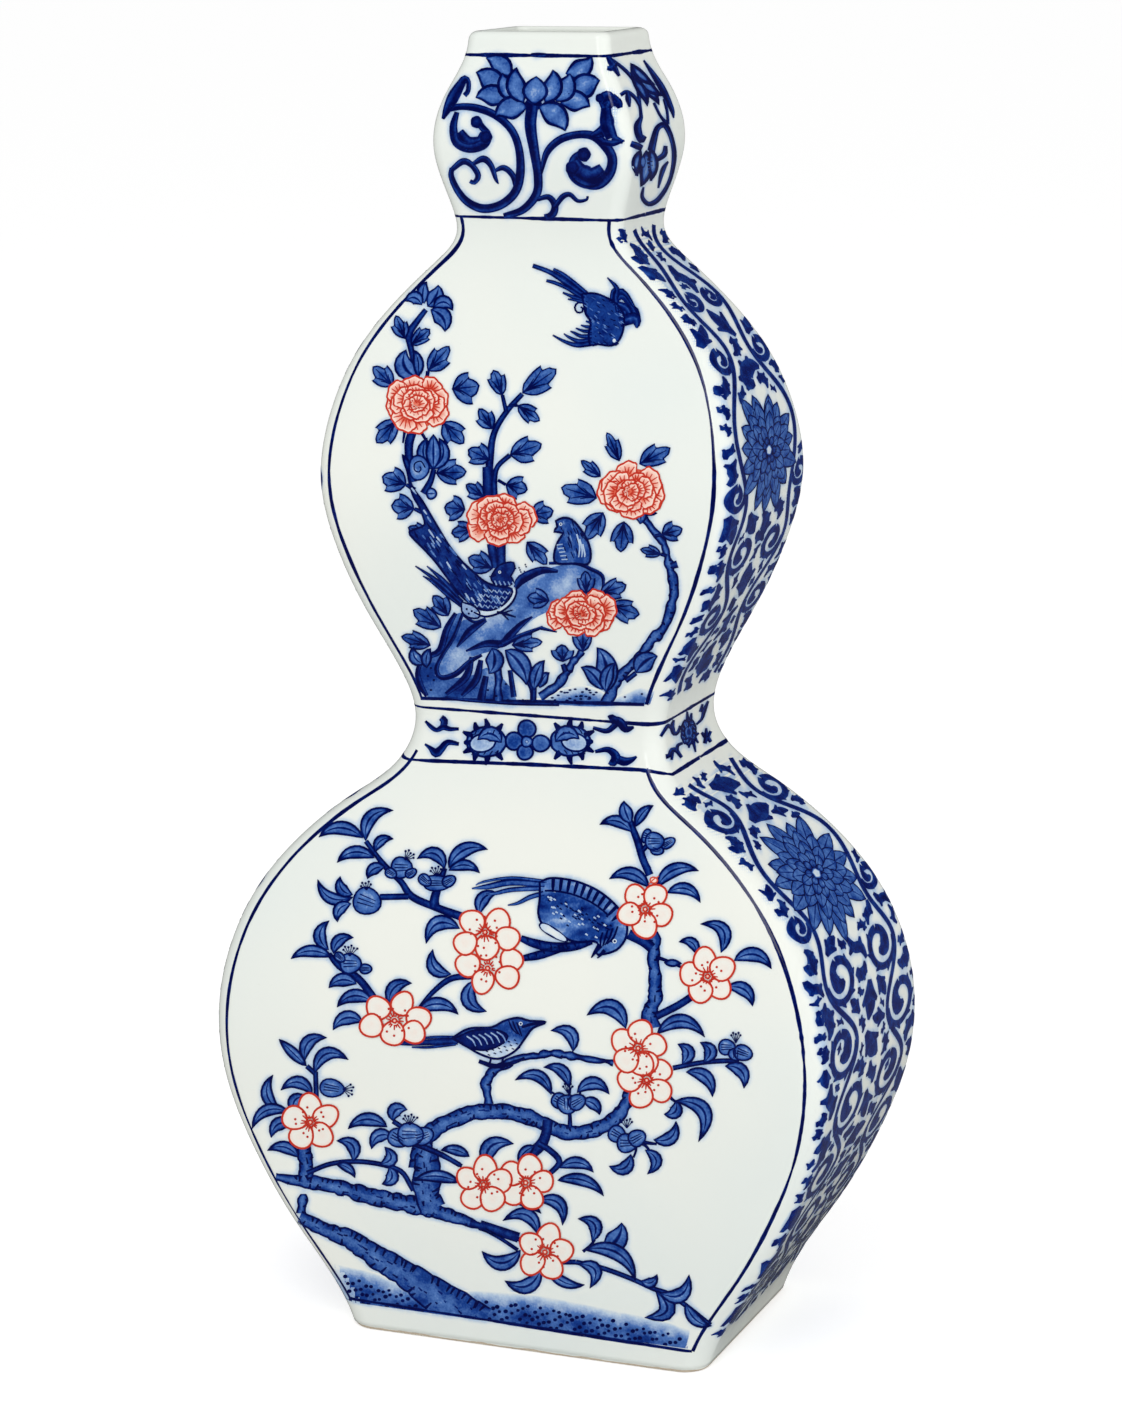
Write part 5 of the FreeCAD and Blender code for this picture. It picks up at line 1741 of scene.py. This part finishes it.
def paint_material(name, steps, darkest, pooling, rougher):
    """A colour under or on the glaze; the tone comes with the paint's own points."""
    tree, shader = new_material(name)
    tone = add_node(tree, "Attribute", {}, attribute_name="tone").outputs["Fac"]
    skin, brush = group_node(tree, "glaze_skin"), group_node(tree, "brush_tone", Tone=tone, Pooling=pooling)
    ramp = add_node(tree, "ValToRGB", {"Fac": brush.outputs["Tone"]})
    while len(ramp.color_ramp.elements) < len(steps):
        ramp.color_ramp.elements.new(0.5)
    for element, (place, colour) in zip(ramp.color_ramp.elements, steps):
        element.position = place
        element.color = linear(colour)
    ramp.color_ramp.elements[-1].color = darkest
    colour = blend_colours(tree, brush.outputs["Shown"], skin.outputs["Colour"], ramp.outputs["Color"])
    tree.links.new(colour, shader.inputs["Base Color"])
    rough = sums(tree, "ADD", skin.outputs["Roughness"], times(tree, brush.outputs["Tone"], rougher))
    tree.links.new(rough, shader.inputs["Roughness"])
    add_bump(tree, shader, skin.outputs["Height"], *glaze_bump)


def height_above_foot(tree):
    place = add_node(tree, "TexCoord", {}).outputs["Object"]
    return add_node(tree, "SeparateXYZ", {"Vector": place}).outputs["Z"]


def porcelain_material(name, bare_height):
    """Glazed porcelain whose lowest millimetres are bare, sandy paste with a brown line where the glaze ends."""
    tree, shader = new_material(name)
    skin = group_node(tree, "glaze_skin")
    z = sums(tree, "ADD", height_above_foot(tree),
             times(tree, spread(tree, noise(tree, 120.0), 0.3, 0.7, -0.5, 0.5), glaze_edge_wander))
    bare = spread(tree, z, bare_height, bare_height + glaze_edge_fade, 1.0, 0.0)
    rim = times(tree, spread(tree, z, bare_height - brown_line, bare_height), bare)
    sand = spread(tree, noise(tree, 1600.0, 3.0), 0.5, 0.72)
    paste = blend_colours(tree, sand, linear(paste_white), linear(paste_sand))
    paste = blend_colours(tree, rim, paste, linear(paste_sand))
    colour = blend_colours(tree, bare, skin.outputs["Colour"], paste)
    tree.links.new(colour, shader.inputs["Base Color"])
    rough = sums(tree, "ADD", skin.outputs["Roughness"], times(tree, bare, bare_roughness))
    tree.links.new(rough, shader.inputs["Roughness"])
    add_bump(tree, shader, sums(tree, "ADD", skin.outputs["Height"], times(tree, sand, bare)), *foot_bump)


def grey(level):
    return level, level, level, 1


# The floor's greys: what lights the vase, what the glaze mirrors, and what the camera sees
floor_grey, floor_mirrored, floor_seen, floor_glow = grey(0.86), grey(0.12), grey(0.74), grey(0.53)


def stage_material():
    """A white floor that shows as the photograph's background and keeps the vase's shadow."""
    material = bpy.data.materials.new("stage_white")
    material.use_nodes = True
    tree = material.node_tree
    tree.nodes.clear()
    light = add_node(tree, "LightPath", {})
    bounced = blend_colours(tree, light.outputs["Is Glossy Ray"], floor_grey, floor_mirrored)
    plain = add_node(tree, "BsdfDiffuse", {"Color": bounced})
    seen = add_node(tree, "BsdfDiffuse", {"Color": floor_seen})
    glow = add_node(tree, "Emission", {"Color": floor_glow})
    both = add_node(tree, "AddShader", {0: seen.outputs[0], 1: glow.outputs[0]})
    mix = add_node(tree, "MixShader", {0: light.outputs["Is Camera Ray"], 1: plain.outputs[0], 2: both.outputs[0]})
    add_node(tree, "OutputMaterial", {"Surface": mix.outputs[0]})
    return material


# Stage. Lamps: name, place in metres, width, height, power in watts, and whether the glaze mirrors them
lamps = (
    ("window_front", (0.9, -2, 1.5), 1.6, 1.6, 8.5, False),
    ("fill_right", (2.3, -0.3, 0.35), 1.6, 1.6, 17, False),
    ("strip_front", (0.1, -1.45, 1.5), 0.5, 1.7, 11, True),
)
lamp_target = (0, 0, 0.2)
floor_reach = 60
world_light = 0.62
world_not_mirrored = 0.58


def look_at(place, target):
    return (Vector(target) - Vector(place)).to_track_quat("-Z", "Y").to_matrix().to_4x4()


def add_lamp(name, place, wide, high, power, mirrored):
    lamp = bpy.data.lights.new(name, "AREA")
    lamp.shape = "RECTANGLE"
    lamp.size, lamp.size_y = wide, high
    lamp.energy = power
    lamp_object = bpy.data.objects.new(name, lamp)
    lamp_object.visible_glossy = mirrored
    lamp_object.matrix_world = Matrix.Translation(place) @ look_at(place, lamp_target)
    bpy.context.scene.collection.objects.link(lamp_object)


def add_camera():
    right, up, back, place = camera_axes()
    camera = bpy.data.cameras.new("photo_camera")
    camera.sensor_fit = "VERTICAL"
    camera.sensor_height = camera_sensor
    camera.lens = camera_focal / photo_height * camera.sensor_height
    camera.shift_y = camera_lift / photo_height
    camera.clip_end = camera_reach
    seen = bpy.data.objects.new("photo_camera", camera)
    columns = [Vector(v) for v in (right, up, back)]
    seen.matrix_world = Matrix.Translation(Vector(place * MM)) @ Matrix(columns).transposed().to_4x4()
    bpy.context.scene.collection.objects.link(seen)
    bpy.context.scene.camera = seen


def add_world():
    world = bpy.data.worlds.new("studio")
    world.use_nodes = True
    tree = world.node_tree
    background = tree.nodes["Background"]
    background.inputs["Color"].default_value = grey(1)
    light = add_node(tree, "LightPath", {})
    shown = spread(tree, light.outputs["Is Camera Ray"], 0, 1, world_light)
    mirrored = times(tree, light.outputs["Is Glossy Ray"], world_not_mirrored)
    tree.links.new(sums(tree, "SUBTRACT", shown, mirrored), background.inputs["Strength"])
    bpy.context.scene.world = world
    bpy.context.scene.view_settings.view_transform = "Standard"


# The add-on


def colour_setting(name, description, default):
    return bpy.props.FloatVectorProperty(name=name, description=description, default=linear(default), size=4,
                                         min=0, max=1, subtype="COLOR")


def length_setting(name, description, default, least, most):
    return bpy.props.FloatProperty(name=name, description=description, default=default, min=least, max=most,
                                   subtype="DISTANCE", unit="LENGTH")


def share_setting(name, description, default, most):
    return bpy.props.FloatProperty(name=name, description=description, default=default, min=0, max=most,
                                   subtype="FACTOR")


class VaseSettings(bpy.types.PropertyGroup):
    glaze_colour: colour_setting("Glaze", "Colour of the clear glaze over the white porcelain", glaze_white)
    glaze_drift: colour_setting("Glaze drift", "Colour that the glaze drifts to where it lies thicker", glaze_cool)
    cobalt_colour: colour_setting("Cobalt", "Colour of the darkest blue lines", cobalt_steps[-1][1])
    red_colour: colour_setting("Iron red", "Colour of the darkest red lines", red_steps[-1][1])
    bare_height: length_setting("Bare edge", "Height of the bare standing edge of the foot", 0.0009, 0, 0.004)
    lamp_share: share_setting("Lamps", "Share of the lamps' full power", 1, 4)
    paint_lift: length_setting("Paint lift", "How far the lowest paint lies above the glaze", 0.00006, 0.00002, 0.0003)
    cobalt_pooling: share_setting("Cobalt pooling", "How much the blue pools and thins", 0.32, 1)
    cobalt_bleed: share_setting("Cobalt bleed", "How strongly the blue bleeds into the glaze", 0.32, 0.6)
    red_pooling: share_setting("Red pooling", "How much the iron red pools and thins", 0.3, 1)


class VASE_OT_shader_groups(bpy.types.Operator):
    """Make the shader groups and materials that the vase's pieces use"""
    bl_idname = "vase.shader_groups"
    bl_label = "Make finishes"

    def execute(self, context):
        settings = context.scene.vase_settings
        glaze_skin_group(settings.glaze_colour, settings.glaze_drift)
        brush_tone_group()
        glaze_material()
        paint_material("cobalt_blue", cobalt_steps, settings.cobalt_colour, settings.cobalt_pooling, 0.02)
        paint_material("iron_red", red_steps, settings.red_colour, settings.red_pooling, 0.12)
        porcelain_material("bare_foot", settings.bare_height)
        porcelain_material("inner_glaze", -0.01)
        return {"FINISHED"}


class VASE_OT_slabs(bpy.types.Operator):
    """Give the slabs, the foot and the lip of the vase their finishes"""
    bl_idname = "vase.slabs"
    bl_label = "Finish slabs"

    def execute(self, context):
        for row in frame["record"]["subparts"]:
            slab = bpy.data.objects[row["node"]]
            bare = row["material_slot"] == "foot_porcelain"
            material = bpy.data.materials["bare_foot" if bare else "inner_glaze"]
            if not slab.material_slots:
                slab.data.materials.append(material)
            for place in slab.material_slots:
                place.material = material
        return {"FINISHED"}


class VASE_OT_glaze(bpy.types.Operator):
    """Lay the clear glaze over the outside and the lip"""
    bl_idname = "vase.glaze"
    bl_label = "Lay glaze"

    def execute(self, context):
        make_glaze(bpy.data.materials["clear_glaze"])
        return {"FINISHED"}


class VASE_OT_front_painting(bpy.types.Operator):
    """Paint the front panels, and the same on the back"""
    bl_idname = "vase.front_painting"
    bl_label = "Paint front and back"

    def execute(self, context):
        lift = context.scene.vase_settings.paint_lift / MM
        lower, middle = (Drawing(partial(front_place, lowest=height)) for height in lowest_paint)
        small, red, frames = Drawing(front_place), Drawing(front_place), Drawing(glaze_place)
        paint_lower_front(lower, red)
        paint_middle_front(middle, red)
        paint_bulb(small)
        paint_collar(small)
        paint_borders(frames)
        cobalt, bleed = bpy.data.materials["cobalt_blue"], context.scene.vase_settings.cobalt_bleed
        for name, about_face in (("front", False), ("back", True)):
            lay_paint(name + "_cobalt", [lower, middle, small, frames], lift, about_face, cobalt)
            lay_bleed(name + "_bleed", [lower, middle, small], bleed_lift * lift, about_face, bleed, cobalt)
            lay_paint(name + "_iron_red", [red], 4 * lift, about_face, bpy.data.materials["iron_red"])
        return {"FINISHED"}


class VASE_OT_side_painting(bpy.types.Operator):
    """Paint the scrolls on the two narrow sides"""
    bl_idname = "vase.side_painting"
    bl_label = "Paint sides"

    def execute(self, context):
        lift = context.scene.vase_settings.paint_lift / MM
        scroll, small = Drawing(side_place), Drawing(from_photo)
        paint_sides(scroll, small)
        cobalt, bleed = bpy.data.materials["cobalt_blue"], context.scene.vase_settings.cobalt_bleed
        for name, about_face in (("right", False), ("left", True)):
            lay_paint(name + "_cobalt", [scroll, small], lift, about_face, cobalt)
            lay_bleed(name + "_bleed", [scroll, small], bleed_lift * lift, about_face, bleed, cobalt)
        return {"FINISHED"}


class VASE_OT_stage(bpy.types.Operator):
    """Set up the floor, the lamps, the world and the photograph's camera"""
    bl_idname = "vase.stage"
    bl_label = "Set stage"

    def execute(self, context):
        corners = [(x * floor_reach, y * floor_reach, 0) for x, y in ((-1, -1), (1, -1), (1, 1), (-1, 1))]
        floor = new_piece("floor", corners, [range(4)])
        floor.data.materials.append(stage_material())
        for name, place, wide, high, power, mirrored in lamps:
            add_lamp(name, place, wide, high, power * context.scene.vase_settings.lamp_share, mirrored)
        add_camera()
        add_world()
        return {"FINISHED"}


class VASE_PT_panel(bpy.types.Panel):
    """The vase's settings and steps"""
    bl_idname = "VASE_PT_panel"
    bl_label = "Vase"
    bl_space_type = "VIEW_3D"
    bl_region_type = "UI"
    bl_category = "Vase"

    def draw(self, context):
        settings = context.scene.vase_settings
        for name in VaseSettings.__annotations__:
            self.layout.prop(settings, name)
        for operator in operators:
            self.layout.operator(operator.bl_idname)


operators = (VASE_OT_shader_groups, VASE_OT_slabs, VASE_OT_glaze, VASE_OT_front_painting,
             VASE_OT_side_painting, VASE_OT_stage)
classes = (VaseSettings,) + operators + (VASE_PT_panel,)


def register():
    for cls in classes:
        bpy.utils.register_class(cls)
    bpy.types.Scene.vase_settings = bpy.props.PointerProperty(type=VaseSettings)


def unregister():
    del bpy.types.Scene.vase_settings
    for cls in reversed(classes):
        bpy.utils.unregister_class(cls)


def main():
    register()
    bpy.ops.vase.shader_groups()
    bpy.ops.vase.slabs()
    bpy.ops.vase.glaze()
    bpy.ops.vase.front_painting()
    bpy.ops.vase.side_painting()
    bpy.ops.vase.stage()


if __name__ == "__main__":
    main()
